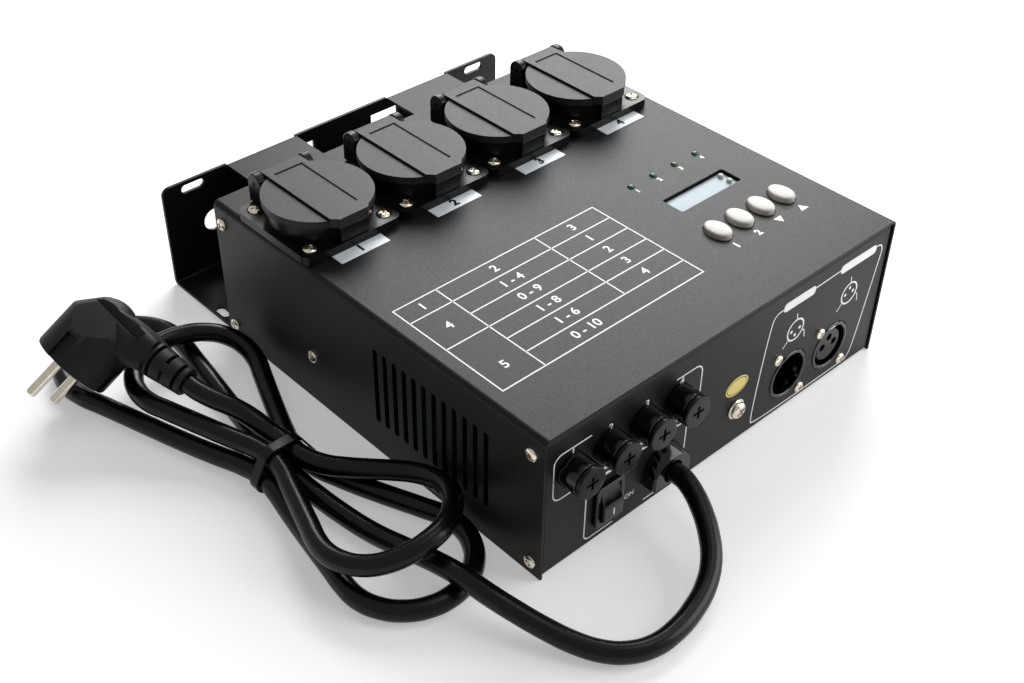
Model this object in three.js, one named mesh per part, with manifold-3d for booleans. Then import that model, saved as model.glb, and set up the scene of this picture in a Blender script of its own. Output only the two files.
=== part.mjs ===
// A four-channel dimmer pack: bent steel case, four outlets with hinged lids, control panel, fuses,
// switch, signal connectors, hanging bracket and a tied mains lead. Lengths are in millimetres.
// X runs right along the front, Y runs back and Z up, from the case's lower front left corner.
import * as THREE from "three";
import { mergeVertices } from "three/addons/utils/BufferGeometryUtils.js";
import Module from "manifold-3d";

const wasm = await Module();
wasm.setup();

// Sheet metal
const sheet = 1.2;
const bend = 2.6;
const gap = 0.3;
const overrun = 1;
const caseDepth = 204;
const caseHeight = 70.4;
const frontSetback = 0.8;
const sideClearance = 0.8;
const topFlangeDepth = 9;
const sideFlangeHeight = 11;
const sideFlangeInset = 12;
const rearFlangeDepth = 10;

// Vents in the cover's sides
const ventCount = 12;
const ventPitch = 5.88;
const ventWidth = 2.7;
const ventFirst = 30.5;
const ventLow = 17;
const ventHeight = 37.5;

// Outlets
const socketCount = 4;
const flangeSide = 49.8;
const flangeSpacing = 0.35;
const flangeThickness = 4;
const flangeCorner = 4.5;
const outletLeftMargin = 0.35;
const outletRightMargin = 6.4;
const outletRearMargin = 42;
const wellRadius = 19.7;
const wellDepth = 17.5;
const collarWall = 2.8;
const collarHeight = 7.1;
const bodyRadius = 21.3;
const bodyDepth = 23.4;
const bodyHoleClearance = 0.5;
const contactSpacing = 19;
const contactHoleRadius = 2.7;
const contactHoleDepth = 12;
const keyWidth = 5;
const keyHeight = 2.2;
const stopWidth = 14;
const stopDepth = 3.4;

// Lids and their hinges
const lidRadius = 23.6;
const lidThickness = 3.2;
const lidRise = 0.4;
const strapWidth = 20;
const strapStep = 1.1;
const strapOverhang = 1.1;
const strapChamfer = 3;
const panelWidth = 14.2;
const panelLength = 40;
const panelRearInset = 3.6;
const panelDepth = 0.5;
const hingeSetback = 25.6;
const pinRadius = 1;
const earThickness = 3.6;
const earRadius = 4.6;

// Closing springs
const springTurns = 5;
const springPitch = 1.1;
const springWireRadius = 0.3;
const springRadius = 2.2;
const springPocketClearance = 0.8;

// Control panel, from the front edge and the right edge
const panelPitch = 13.97;
const buttonCount = 4;
const firstButtonInset = 63.9;
const buttonRowInset = 44.8;
const buttonHalfWidth = 4.8;
const buttonHalfLength = 6.7;
const buttonRise = 2.7;
const buttonShoulder = 0.7;
const buttonTravel = 0.8;
const buttonFlange = 1.2;
const buttonStemRadius = 1.7;
const buttonStemLength = 3;
const firstLampInset = 65.6;
const ledRowInset = 92.7;
const ledRadius = 1.45;
const ledRise = 1;
const windowWidth = 38.7;
const windowDepth = 11.6;
const windowRightInset = 44.1;
const windowRowInset = 70.5;
const windowRecess = 1.2;
const lensThickness = 1.5;
const moduleWall = 2;
const boardDrop = 16;
const boardThickness = 1.6;
const boardMargin = 6.5;
const boardStandoffRadius = 2.4;
const tactSide = 6;
const tactHeight = 4.5;

// Fuses, on the front panel
const fuseCount = 4;
const fusePitch = 18.93;
const firstFuse = 14.5;
const fuseHeight = 49;
const fuseShroudRadius = 7.3;
const fuseShroudTaper = 0.3;
const fuseShroudLength = 8.7;
const fuseThreadRadius = 6;
const fuseRearWall = 4;
const fuseNutRadius = 8.2;
const fuseNutThickness = 3;
const fuseCapRadius = 7;
const fuseCapThickness = 2;
const fuseBoreWall = 1.6;
const fuseSlotLength = 6;
const fuseSlotWidth = 1.3;
const fuseSlotDepth = 1;
const fuseRadius = 2.5;
const fuseLength = 20;
const fuseStemLength = 8;

// Mains switch
const switchCentre = 35.5;
const switchHeight = 18.9;
const bezelWidth = 15;
const bezelLength = 20.4;
const bezelRise = 2;
const bezelLip = 2.1;
const switchBodyInset = 1;
const switchBodyDepth = 17;
const switchPocketDepth = 9.5;
const rockerTilt = 11;
const rockerReach = 3.5;
const pivotRadius = 1.1;
const pivotDepth = 1.6;
const tagWidth = 6.3;
const tagThickness = 0.8;
const tagLength = 8;

// Lead bushing and earth screw
const reliefCentre = 66.5;
const reliefHeight = 18;
const reliefWidth = 21;
const reliefRise = 6.1;
const reliefDrop = 5.5;
const reliefSideShare = 0.95;
const reliefTopShare = 0.69;
const reliefCatch = 1.1;
const reliefNeck = 5;
const reliefTail = 10;
const earthCentre = 108.5;
const earthHeight = 23.5;
const earthHeadRadius = 5.5;
const earthHeadRise = 3.4;
const earthShankRadius = 2;
const earthShankLength = 9;
const earthNutRadius = 4.4;
const earthNutThickness = 3.2;

// Signal connectors
const firstConnector = 145.1;
const connectorPitch = 28.8;
const connectorHeight = 19.6;
const connectorRimRadius = 11.7;
const connectorRimWall = 1.7;
const connectorRimRise = 0.4;
const connectorFlangeWidth = 25;
const connectorFlangeHeight = 30;
const connectorFlangeThickness = 2;
const connectorBodyDepth = 20;
const connectorWellDepth = 15;
const signalPinRadius = 1.2;
const signalPinCircle = 3.6;
const signalPinLength = 13;
const insertClearance = 1.9;
const insertDepth = 12;

// Rear bracket
const bracketSheet = 1.5;
const bracketReach = 48.2;
const bracketHeight = 52.4;
const bracketSideInset = 1;
const bracketCorner = 4;
const bracketFoot = 12;
const tabWidth = 39.5;
const tabInset = 35;
const tabFoot = 12;
const slotInset = 16;
const slotDrop = 3.9;
const slotLength = 12.2;
const slotWidth = 4.3;
const holeInset = 25;
const holeHeight = 26.3;
const holeRadius = 5.75;
const windowInset = 67.8;
const bracketWindowWidth = 17;
const bracketWindowHeight = 7;
const bracketWindowLow = 39;
const floorSlotInset = 3.5;
const floorSlotSetback = 12.6;
const floorSlotLength = 9;
const floorSlotWidth = 4.5;

// Inside the case
const powerBoardWidth = 128;
const powerBoardDepth = 76;
const powerBoardLeft = 10;
const powerBoardFront = 36;
const powerBoardRise = 8;
const standoffRadius = 3;
const triacWidth = 10;
const triacHeight = 16;
const triacThickness = 4.5;
const chokeRadius = 11;
const chokeHoleRadius = 4.5;
const chokeThickness = 9;
const terminalDepth = 10;
const terminalHeight = 12;
const heatsinkBase = 3;
const heatsinkHeight = 36;
const finCount = 6;
const finLength = 12;
const finThickness = 1.6;
const transformerWidth = 44;
const transformerDepth = 30;
const transformerHeadroom = 9.5;
const transformerRightInset = 10;
const transformerRearInset = 16;
const windingWall = 6;
const footReach = 8;
const footThickness = 2;

// Mains lead: its own diameter, the hank's waist and the bights on both sides of it
const cordRadius = 4.25;
const cordPitch = 9.1;
const cordSides = 8;
const hankSides = 6;
const cordStep = 9;
const leadPoints = [
  [65.7, -14.5, 17.2],
  [61.8, -24.2, 14.8],
  [56, -33.4, 12],
  [49, -41, 9.3],
  [39.8, -46.8, 7],
  [29, -50.4, 5.4],
  [17.6, -52.2, 4.6],
  [6.5, -51.6, 4.4],
  [-2.4, -47.6, 4.4],
  [-8.8, -41.2, 4.5],
  [-13.9, -32.3, 5.2],
  [-18.5, -21.3, 7.2],
  [-22.5, -10.4, 9.9],
  [-25.9, 0.3, 12.6],
  [-28, 12, 13.9],
  [-29.6, 26, 12],
  [-31.4, 42, 8],
  [-33.6, 58, 5],
  [-35.8, 74, 4.6],
  [-37.6, 90, 5.4],
];
const tailPoints = [
  [-34.4, 121, 14.2],
  [-38.6, 134, 19],
];
const waistX = -38.3;
const waistY = 109;
const waistRadius = 34;
const waistLiftShare = 0.2;
const tieThickness = 0.9;
const tieWidth = 5;
const bights = [
  { to: "left", side: 1, turn: 1, reach: 129, radius: 26.5, centre: -11.7,
    liftShares: [0, 0, 0, 0, 0, 0, 0] },
  { to: "right", side: -1, turn: -1, reach: 95, radius: 26, centre: 6.3,
    liftShares: [0, 0, 0, 0, 0, 0, 0] },
  { to: "upperLeft", side: 1, turn: 1, reach: 93, radius: 26.5, centre: 3.6,
    liftShares: [0, 0.25, 0.9, 1.03, 1.03, 1.03, 1.03] },
  { to: "upperRight", side: -1, turn: -1, reach: 82, radius: 26.5, centre: 6.8,
    liftShares: [1.03, 1.08, 1.4, 2.05, 1.9, 1.2, 1.05] },
];
const bightSteps = 24;

// Angled plug: its face, the way its pins point and the way its lead leaves
const plugFace = new THREE.Vector3(-78, 201.9, 23.3);
const pinsPoint = new THREE.Vector3(-0.823, 0.095, -0.56);
const leadLeaves = new THREE.Vector3(0.112, -0.939, -0.324);
const plugRadius = 17;
const plugWaistDepth = 21.7;
const plugBackRadius = 8.8;
const plugBackDepth = 32.2;
const plugCrownRadius = 3;
const plugDepth = 35.5;
const plugAxisDepth = 23.2;
const plugReach = 44.3;
const neckLean = 8;
const neckWidth = 20;
const neckDepth = 18;
const neckLength = 26;
const neckEndShare = 0.8;
const edgeRound = 1;
const sleeveRadius = 7.6;
const sleeveEndRadius = 6.2;
const sleeveLength = 20;
const sleeveGrooves = 2;
const grooveWidth = 2;
const grooveDepth = 1.2;
const plugPinRadius = 2.2;
const plugPinLength = 18;
const plugPinRoot = 6;

// Worked out from the sizes above
const socketPitch = flangeSide + flangeSpacing;
const caseWidth = outletLeftMargin + socketCount * socketPitch - flangeSpacing + outletRightMargin;
const firstSocket = outletLeftMargin + flangeSide / 2;
const socketRow = caseDepth - outletRearMargin;
const inner = sheet + sideClearance;
const deckUnderside = caseHeight - sheet;
const panelInside = frontSetback + sheet;
const collarRadius = wellRadius + collarWall;
const collarTop = flangeThickness + collarHeight;
const wellFloor = collarTop - wellDepth;
const hingeHeight = collarTop + lidRise;
const barrelRadius = lidThickness + strapStep;
const pinBore = pinRadius + gap;
const earInner = strapWidth / 2 + 2 * gap;
const earOuter = earInner + earThickness;
const bracketFront = caseDepth + gap;
const bracketRear = caseDepth + bracketReach;
const boardTop = caseHeight - boardDrop;
const firstButton = caseWidth - firstButtonInset;
const firstLamp = caseWidth - firstLampInset;

const switchBody = new THREE.Vector2(bezelWidth - 2 * switchBodyInset, bezelLength - 2 * switchBodyInset);
const round = 24;
const small = 12;
const flatOrigin = new THREE.Vector2();

// Solids from three.js geometries, and back
function solid(geometry) {
  const bare = geometry.index ? geometry.toNonIndexed() : geometry.clone();
  bare.deleteAttribute("normal");
  bare.deleteAttribute("uv");
  const merged = mergeVertices(bare, gap / 1000);
  return new wasm.Manifold(new wasm.Mesh({
    numProp: 3,
    vertProperties: merged.attributes.position.array,
    triVerts: new Uint32Array(merged.index.array),
  }));
}

function geometryOf(manifold) {
  const mesh = manifold.getMesh();
  const geometry = new THREE.BufferGeometry();
  geometry.setAttribute("position", new THREE.BufferAttribute(mesh.vertProperties, 3));
  geometry.setIndex(new THREE.BufferAttribute(mesh.triVerts, 1));
  return geometry;
}

function block(x0, x1, y0, y1, z0, z1) {
  const box = new THREE.BoxGeometry(x1 - x0, y1 - y0, z1 - z0);
  return solid(box.translate((x0 + x1) / 2, (y0 + y1) / 2, (z0 + z1) / 2));
}

// A round bar along Z between two heights, with an optional second radius at the top
function bar(radius, z0, z1, sides = round, topRadius = radius) {
  const rod = new THREE.CylinderGeometry(topRadius, radius, z1 - z0, sides);
  return solid(rod.rotateX(Math.PI / 2).translate(0, 0, (z0 + z1) / 2));
}

function barAlongX(radius, x0, x1, y, z, sides = round) {
  return bar(radius, x0, x1, sides).rotate(0, 90, 0).translate(0, y, z);
}

function barAlongY(radius, y0, y1, x, z, sides = round) {
  return bar(radius, -y1, -y0, sides).rotate(90, 0, 0).translate(x, 0, z);
}

// A solid turned about Z from pairs of radius and height, listed upwards from the axis
function turned(profile, sides = round) {
  const points = profile.map(([radius, height]) => new THREE.Vector2(radius, height));
  return solid(new THREE.LatheGeometry(points, sides).rotateX(Math.PI / 2));
}

function raised(shape, z0, z1, curveSegments = 4) {
  const body = new THREE.ExtrudeGeometry(shape, { depth: z1 - z0, bevelEnabled: false, curveSegments });
  return solid(body.translate(0, 0, z0));
}

function roundedOutline(width, height, radius) {
  const x = width / 2;
  const y = height / 2;
  const r = Math.min(radius, x, y);
  const shape = new THREE.Shape();
  shape.absarc(x - r, y - r, r, 0, Math.PI / 2);
  shape.absarc(r - x, y - r, r, Math.PI / 2, Math.PI);
  shape.absarc(r - x, r - y, r, Math.PI, 1.5 * Math.PI);
  shape.absarc(x - r, r - y, r, 1.5 * Math.PI, 2 * Math.PI);
  return shape;
}

function ovalOutline(halfWidth, halfHeight) {
  const shape = new THREE.Shape();
  shape.absellipse(0, 0, halfWidth, halfHeight, 0, 2 * Math.PI);
  return shape;
}

// The rounded path of a sheet's face through its corners
function roundedPath(corners, radius) {
  const path = [];
  const steps = 4;
  corners.forEach((corner, i) => {
    if (i === 0 || i === corners.length - 1) {
      path.push(corner);
      return;
    }
    const back = corners[i - 1].clone().sub(corner).normalize();
    const on = corners[i + 1].clone().sub(corner).normalize();
    const half = back.angleTo(on) / 2;
    const centre = back.clone().add(on).normalize().multiplyScalar(radius / Math.sin(half)).add(corner);
    const start = back.multiplyScalar(radius / Math.tan(half)).add(corner).sub(centre);
    const end = on.multiplyScalar(radius / Math.tan(half)).add(corner).sub(centre);
    const turn = Math.atan2(start.cross(end), start.dot(end));
    for (let k = 0; k <= steps; k += 1) {
      path.push(start.clone().rotateAround(flatOrigin, (turn * k) / steps).add(centre));
    }
  });
  return path;
}

// The section of a bent sheet whose outer face runs through the corners and bends one way all along
function bentSection(corners, thickness, radius) {
  const outer = corners.map(([u, v]) => new THREE.Vector2(u, v));
  const directions = outer.slice(1).map((point, i) => point.clone().sub(outer[i]).normalize());
  const side = Math.sign(directions[0].cross(directions[1]));
  const normals = directions.map((d) => new THREE.Vector2(-d.y, d.x).multiplyScalar(side * thickness));
  const inside = outer.map((point, i) => {
    const moved = point.clone();
    normals.slice(Math.max(i - 1, 0), i + 1).forEach((normal) => moved.add(normal));
    return moved;
  });
  const face = roundedPath(outer, radius);
  const back = roundedPath(inside, radius - thickness).reverse();
  return new THREE.Shape([...face, ...back]);
}

// A section in the Y-Z plane drawn out along X
function alongX(shape, x0, x1, curveSegments = 4) {
  return raised(shape, x0, x1, curveSegments).transform([0, 1, 0, 0, 0, 0, 1, 0, 1, 0, 0, 0, 0, 0, 0, 1]);
}

// A section in the X-Z plane drawn out along Y
function alongY(shape, y0, y1, curveSegments = 4) {
  return raised(shape, -y1, -y0, curveSegments).rotate(90, 0, 0);
}

const dimmerPack = new THREE.Group();

const finishes = {
  blackSteel: { color: 0x35353a, roughness: 0.5, metalness: 0.3 },
  lidPlastic: { color: 0x3c3d3c, roughness: 0.55, metalness: 0 },
  blackPlastic: { color: 0x1c1c1e, roughness: 0.45, metalness: 0 },
  whitePlastic: { color: 0xe9e6e0, roughness: 0.4, metalness: 0 },
  greenLens: { color: 0x2f8f4e, roughness: 0.25, metalness: 0 },
  paleLens: { color: 0xaab9c6, roughness: 0.2, metalness: 0 },
  nickel: { color: 0xd9d4c8, roughness: 0.3, metalness: 1 },
  steelWire: { color: 0x9a9a98, roughness: 0.35, metalness: 1 },
  boardGreen: { color: 0x1f5a37, roughness: 0.5, metalness: 0 },
  aluminium: { color: 0xb9bcc0, roughness: 0.4, metalness: 1 },
  copper: { color: 0x8c4a2c, roughness: 0.45, metalness: 0.6 },
  glass: { color: 0xdfe6e8, roughness: 0.1, metalness: 0 },
  cable: { color: 0x232427, roughness: 0.5, metalness: 0 },
};

function addPiece(parent, name, shape, finish) {
  const geometry = shape.isBufferGeometry ? shape : geometryOf(shape);
  const mesh = new THREE.Mesh(geometry, new THREE.MeshStandardMaterial(finishes[finish]));
  mesh.name = name;
  parent.add(mesh);
  return mesh;
}

function numbered(count, make) {
  return Array.from({ length: count }, (_, i) => make(i));
}

// Places of what repeats
const socketPlaces = numbered(socketCount, (i) => firstSocket + i * socketPitch);
const buttonPlaces = numbered(buttonCount, (i) => firstButton + i * panelPitch);
const lampPlaces = numbered(buttonCount, (i) => firstLamp + i * panelPitch);
const fusePlaces = numbered(fuseCount, (i) => firstFuse + i * fusePitch);
const connectorPlaces = [firstConnector, firstConnector + connectorPitch];
const windowCentre = caseWidth - windowRightInset;

// Cover: one sheet over the top and both sides
function topCover() {
  const corners = [[0, gap], [0, caseHeight], [caseWidth, caseHeight], [caseWidth, gap]];
  let cover = alongY(bentSection(corners, sheet, bend), 0, caseDepth);
  const below = deckUnderside - overrun;
  const above = caseHeight + overrun;
  const socketHole = bar(bodyRadius + bodyHoleClearance, below, above);
  const buttonOutline = ovalOutline(buttonHalfWidth + gap, buttonHalfLength + gap);
  const buttonHole = raised(buttonOutline, below, above, 6);
  const holes = [
    ...socketPlaces.map((x) => socketHole.translate(x, socketRow, 0)),
    ...buttonPlaces.map((x) => buttonHole.translate(x, buttonRowInset, 0)),
    ...lampPlaces.map((x) => bar(ledRadius + gap, below, above, 12).translate(x, ledRowInset, 0)),
    block(-windowWidth / 2, windowWidth / 2, -windowDepth / 2, windowDepth / 2, below, above)
      .translate(windowCentre, windowRowInset, 0),
  ];
  const ventHigh = ventLow + ventHeight;
  for (let i = 0; i < ventCount; i += 1) {
    const y = ventFirst + i * ventPitch;
    const vent = block(-overrun, sheet + overrun, y - ventWidth / 2, y + ventWidth / 2, ventLow, ventHigh);
    holes.push(vent, vent.translate(caseWidth - sheet, 0, 0));
  }
  cover = cover.subtract(wasm.Manifold.union(holes));
  addPiece(dimmerPack, "top_cover", cover, "blackSteel");
}

// Chassis: bottom and front panel in one sheet, with a flange on every free edge
function baseChassis() {
  const top = deckUnderside - gap;
  const corners = [
    [frontSetback + topFlangeDepth, top],
    [frontSetback, top],
    [frontSetback, 0],
    [caseDepth, 0],
  ];
  const trough = alongX(bentSection(corners, sheet, bend), inner, caseWidth - inner);
  const flange = block(inner, inner + sheet, sideFlangeInset, caseDepth - sideFlangeInset,
    0, sideFlangeHeight);
  const front = -overrun;
  const behind = panelInside + overrun;
  const switchX = switchBody.x / 2 + gap;
  const switchZ = switchBody.y / 2 + gap;
  const switchHole = block(-switchX, switchX, front, behind, -switchZ, switchZ);
  const holes = [
    ...fusePlaces.map((x) => barAlongY(fuseThreadRadius + gap, front, behind, x, fuseHeight, 24)),
    ...connectorPlaces.map((x) => barAlongY(connectorRimRadius + gap, front, behind, x, connectorHeight)),
    barAlongY(earthShankRadius + gap, front, behind, earthCentre, earthHeight, 12),
    barAlongY(reliefNeck + gap, front, behind, reliefCentre, reliefHeight, 24),
    switchHole.translate(switchCentre, 0, switchHeight),
  ];
  const chassis = trough
    .add(flange)
    .add(flange.translate(caseWidth - 2 * inner - sheet, 0, 0))
    .subtract(wasm.Manifold.union(holes));
  addPiece(dimmerPack, "base_chassis", chassis, "blackSteel");
}

// Rear panel: stands on the chassis and closes the back
function rearPanel() {
  const foot = sheet + gap;
  const corners = [
    [caseDepth - rearFlangeDepth, foot],
    [caseDepth, foot],
    [caseDepth, deckUnderside - gap],
  ];
  const side = inner + sheet + gap;
  const panel = alongX(bentSection(corners, sheet, bend), side, caseWidth - side);
  addPiece(dimmerPack, "rear_panel", panel, "blackSteel");
}

// Rear bracket: one sheet with a foot on the case, a floor, a plate and two tabs back to the case
function rearBracket() {
  const floor = [
    [bracketFront, bracketFoot],
    [bracketFront, 0],
    [bracketRear, 0],
    [bracketRear, bracketHeight - bracketCorner],
  ];
  const tab = [
    [bracketFront, bracketHeight - tabFoot],
    [bracketFront, bracketHeight],
    [bracketRear, bracketHeight],
    [bracketRear, bracketHeight - bracketCorner - overrun],
  ];
  const left = bracketSideInset;
  const right = caseWidth - bracketSideInset;
  const plateRear = bracketRear - bracketSheet;
  const strip = alongX(bentSection(floor, bracketSheet, bend), left, right);
  const crown = alongY(roundedOutline(right - left, 4 * bracketCorner, bracketCorner), plateRear, bracketRear)
    .translate((left + right) / 2, 0, bracketHeight - 2 * bracketCorner);
  const lug = alongX(bentSection(tab, bracketSheet, bend), 0, tabWidth);
  const tabs = lug.translate(left + tabInset, 0, 0).add(lug.translate(right - tabInset - tabWidth, 0, 0));
  const notch = block(0, tabWidth, bracketRear - bend, bracketRear + overrun,
    bracketHeight - bend, bracketHeight + overrun);
  const squared = crown
    .subtract(notch.translate(left + tabInset, 0, 0))
    .subtract(notch.translate(right - tabInset - tabWidth, 0, 0));
  const y0 = plateRear - overrun;
  const y1 = bracketRear + overrun;
  const upperSlot = alongY(roundedOutline(slotLength, slotWidth, slotWidth / 2), y0, y1)
    .translate(left + slotInset, 0, bracketHeight - slotDrop);
  const hole = barAlongY(holeRadius, y0, y1, left + holeInset, holeHeight, 24);
  const windowHigh = bracketWindowLow + bracketWindowHeight;
  const opening = block(0, bracketWindowWidth, y0, y1, bracketWindowLow, windowHigh)
    .translate(left + windowInset, 0, 0);
  const floorSlotOutline = roundedOutline(floorSlotWidth, floorSlotLength, floorSlotWidth / 2);
  const floorSlot = raised(floorSlotOutline, -overrun, bracketSheet + overrun)
    .translate(left + floorSlotInset, caseDepth + floorSlotSetback, 0);
  const cuts = wasm.Manifold.union([upperSlot, hole, opening, floorSlot]);
  const mirrored = cuts.mirror([1, 0, 0]).translate(left + right, 0, 0);
  const bracket = strip.add(squared).add(tabs).subtract(cuts).subtract(mirrored);
  addPiece(dimmerPack, "rear_bracket", bracket, "blackSteel");
}

// One outlet, from the middle of its flange's underside
function outletHousing() {
  const square = roundedOutline(flangeSide, flangeSide, flangeCorner);
  const ear = barAlongX(earRadius, earInner, earOuter, hingeSetback, hingeHeight, small)
    .add(block(earInner, earOuter, hingeSetback - earRadius, hingeSetback + earRadius, gap, hingeHeight));
  const contactEnd = wellFloor - contactHoleDepth;
  const contacts = [-contactSpacing / 2, contactSpacing / 2].map((x) => (
    bar(contactHoleRadius, contactEnd, wellFloor + overrun, 12).translate(x, 0, 0)));
  const key = block(-keyHeight, collarWall / 2, -keyWidth / 2, keyWidth / 2,
    wellFloor - overrun, collarTop - overrun).translate(wellRadius, 0, 0);
  const keys = key.add(key.mirror([1, 0, 0]))
    .intersect(bar(wellRadius + collarWall / 2, -bodyDepth, collarTop));
  const well = bar(wellRadius, wellFloor, collarTop + overrun);
  const barrelRoom = barAlongX(barrelRadius + 2 * gap, -earInner, earInner, hingeSetback, hingeHeight, small);
  const lidStop = block(-stopWidth / 2, stopWidth / 2, -collarRadius - stopDepth / 2,
    -collarRadius + collarWall / 2, flangeThickness - overrun, collarTop);
  return raised(square, gap, flangeThickness)
    .add(bar(collarRadius, gap, collarTop))
    .add(bar(bodyRadius, -bodyDepth, flangeThickness))
    .add(lidStop)
    .add(ear)
    .add(ear.mirror([1, 0, 0]))
    .subtract(barrelRoom)
    .subtract(well)
    .add(keys)
    .subtract(wasm.Manifold.union(contacts))
    .subtract(barAlongX(pinBore, -earOuter - overrun, earOuter + overrun, hingeSetback, hingeHeight, small));
}

function outletLid() {
  const half = strapWidth / 2;
  const front = -lidRadius - strapOverhang;
  const strap = new THREE.Shape([
    new THREE.Vector2(half, hingeSetback),
    new THREE.Vector2(-half, hingeSetback),
    new THREE.Vector2(-half, front + strapChamfer),
    new THREE.Vector2(strapChamfer - half, front),
    new THREE.Vector2(half - strapChamfer, front),
    new THREE.Vector2(half, front + strapChamfer),
  ]);
  const top = hingeHeight + barrelRadius;
  const panelRear = hingeSetback - panelRearInset;
  const pocketHalf = (springTurns * springPitch) / 2 + springWireRadius + gap;
  const pocket = springRadius + springWireRadius + springPocketClearance;
  const panel = block(-panelWidth / 2, panelWidth / 2, panelRear - panelLength, panelRear,
    top - panelDepth, top + overrun);
  return bar(lidRadius, hingeHeight, hingeHeight + lidThickness)
    .add(raised(strap, hingeHeight, top))
    .add(barAlongX(barrelRadius, -half, half, hingeSetback, hingeHeight, small))
    .subtract(barAlongX(pinBore, -half - overrun, half + overrun, hingeSetback, hingeHeight, small))
    .subtract(barAlongX(pocket, -pocketHalf, pocketHalf, hingeSetback, hingeHeight, small))
    .subtract(panel);
}

// A round wire wound about X
class Coil extends THREE.Curve {
  getPoint(share, target = new THREE.Vector3()) {
    const angle = 2 * Math.PI * springTurns * share;
    const along = (share - 0.5) * springTurns * springPitch;
    return target.set(along, springRadius * Math.cos(angle), springRadius * Math.sin(angle));
  }
}

function sectionOf(radius, sides) {
  const corners = numbered(sides, (i) => {
    const angle = (2 * Math.PI * i) / sides;
    return new THREE.Vector2(radius * Math.cos(angle), radius * Math.sin(angle));
  });
  return new THREE.Shape(corners);
}

function tube(path, radius, steps, sides) {
  const options = { steps, extrudePath: path, bevelEnabled: false };
  return new THREE.ExtrudeGeometry(sectionOf(radius, sides), options);
}

// The least clear distance between stretches of a tube that lie more than a bend apart
function leastGap(path, diameter, steps, apart) {
  const points = path.getSpacedPoints(steps);
  const step = path.getLength() / steps;
  const skip = Math.ceil(apart / step);
  let least = Infinity;
  points.forEach((point, i) => {
    points.slice(i + skip).forEach((other) => {
      least = Math.min(least, point.distanceTo(other) - diameter);
    });
  });
  return least;
}

function outlets() {
  const coil = new Coil();
  const turnLength = 2 * Math.PI * springRadius;
  const coilGap = leastGap(coil, 2 * springWireRadius, springTurns * round, turnLength / 2);
  console.log(`closing spring: least gap to itself ${coilGap.toFixed(2)} mm`);
  socketPlaces.forEach((x, i) => {
    const group = new THREE.Group();
    group.position.set(x, socketRow, caseHeight);
    dimmerPack.add(group);
    const name = `socket_${i + 1}`;
    addPiece(group, `${name}_housing`, outletHousing(), "blackPlastic");
    addPiece(group, `${name}_lid`, outletLid(), "lidPlastic");
    const pin = barAlongX(pinRadius, -earOuter, earOuter, hingeSetback, hingeHeight, 8);
    addPiece(group, `${name}_hinge_pin`, pin, "steelWire");
    const wire = tube(coil, springWireRadius, springTurns * 7, 5);
    const spring = addPiece(group, `${name}_spring`, wire, "steelWire");
    spring.position.set(0, hingeSetback, hingeHeight);
  });
}

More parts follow.
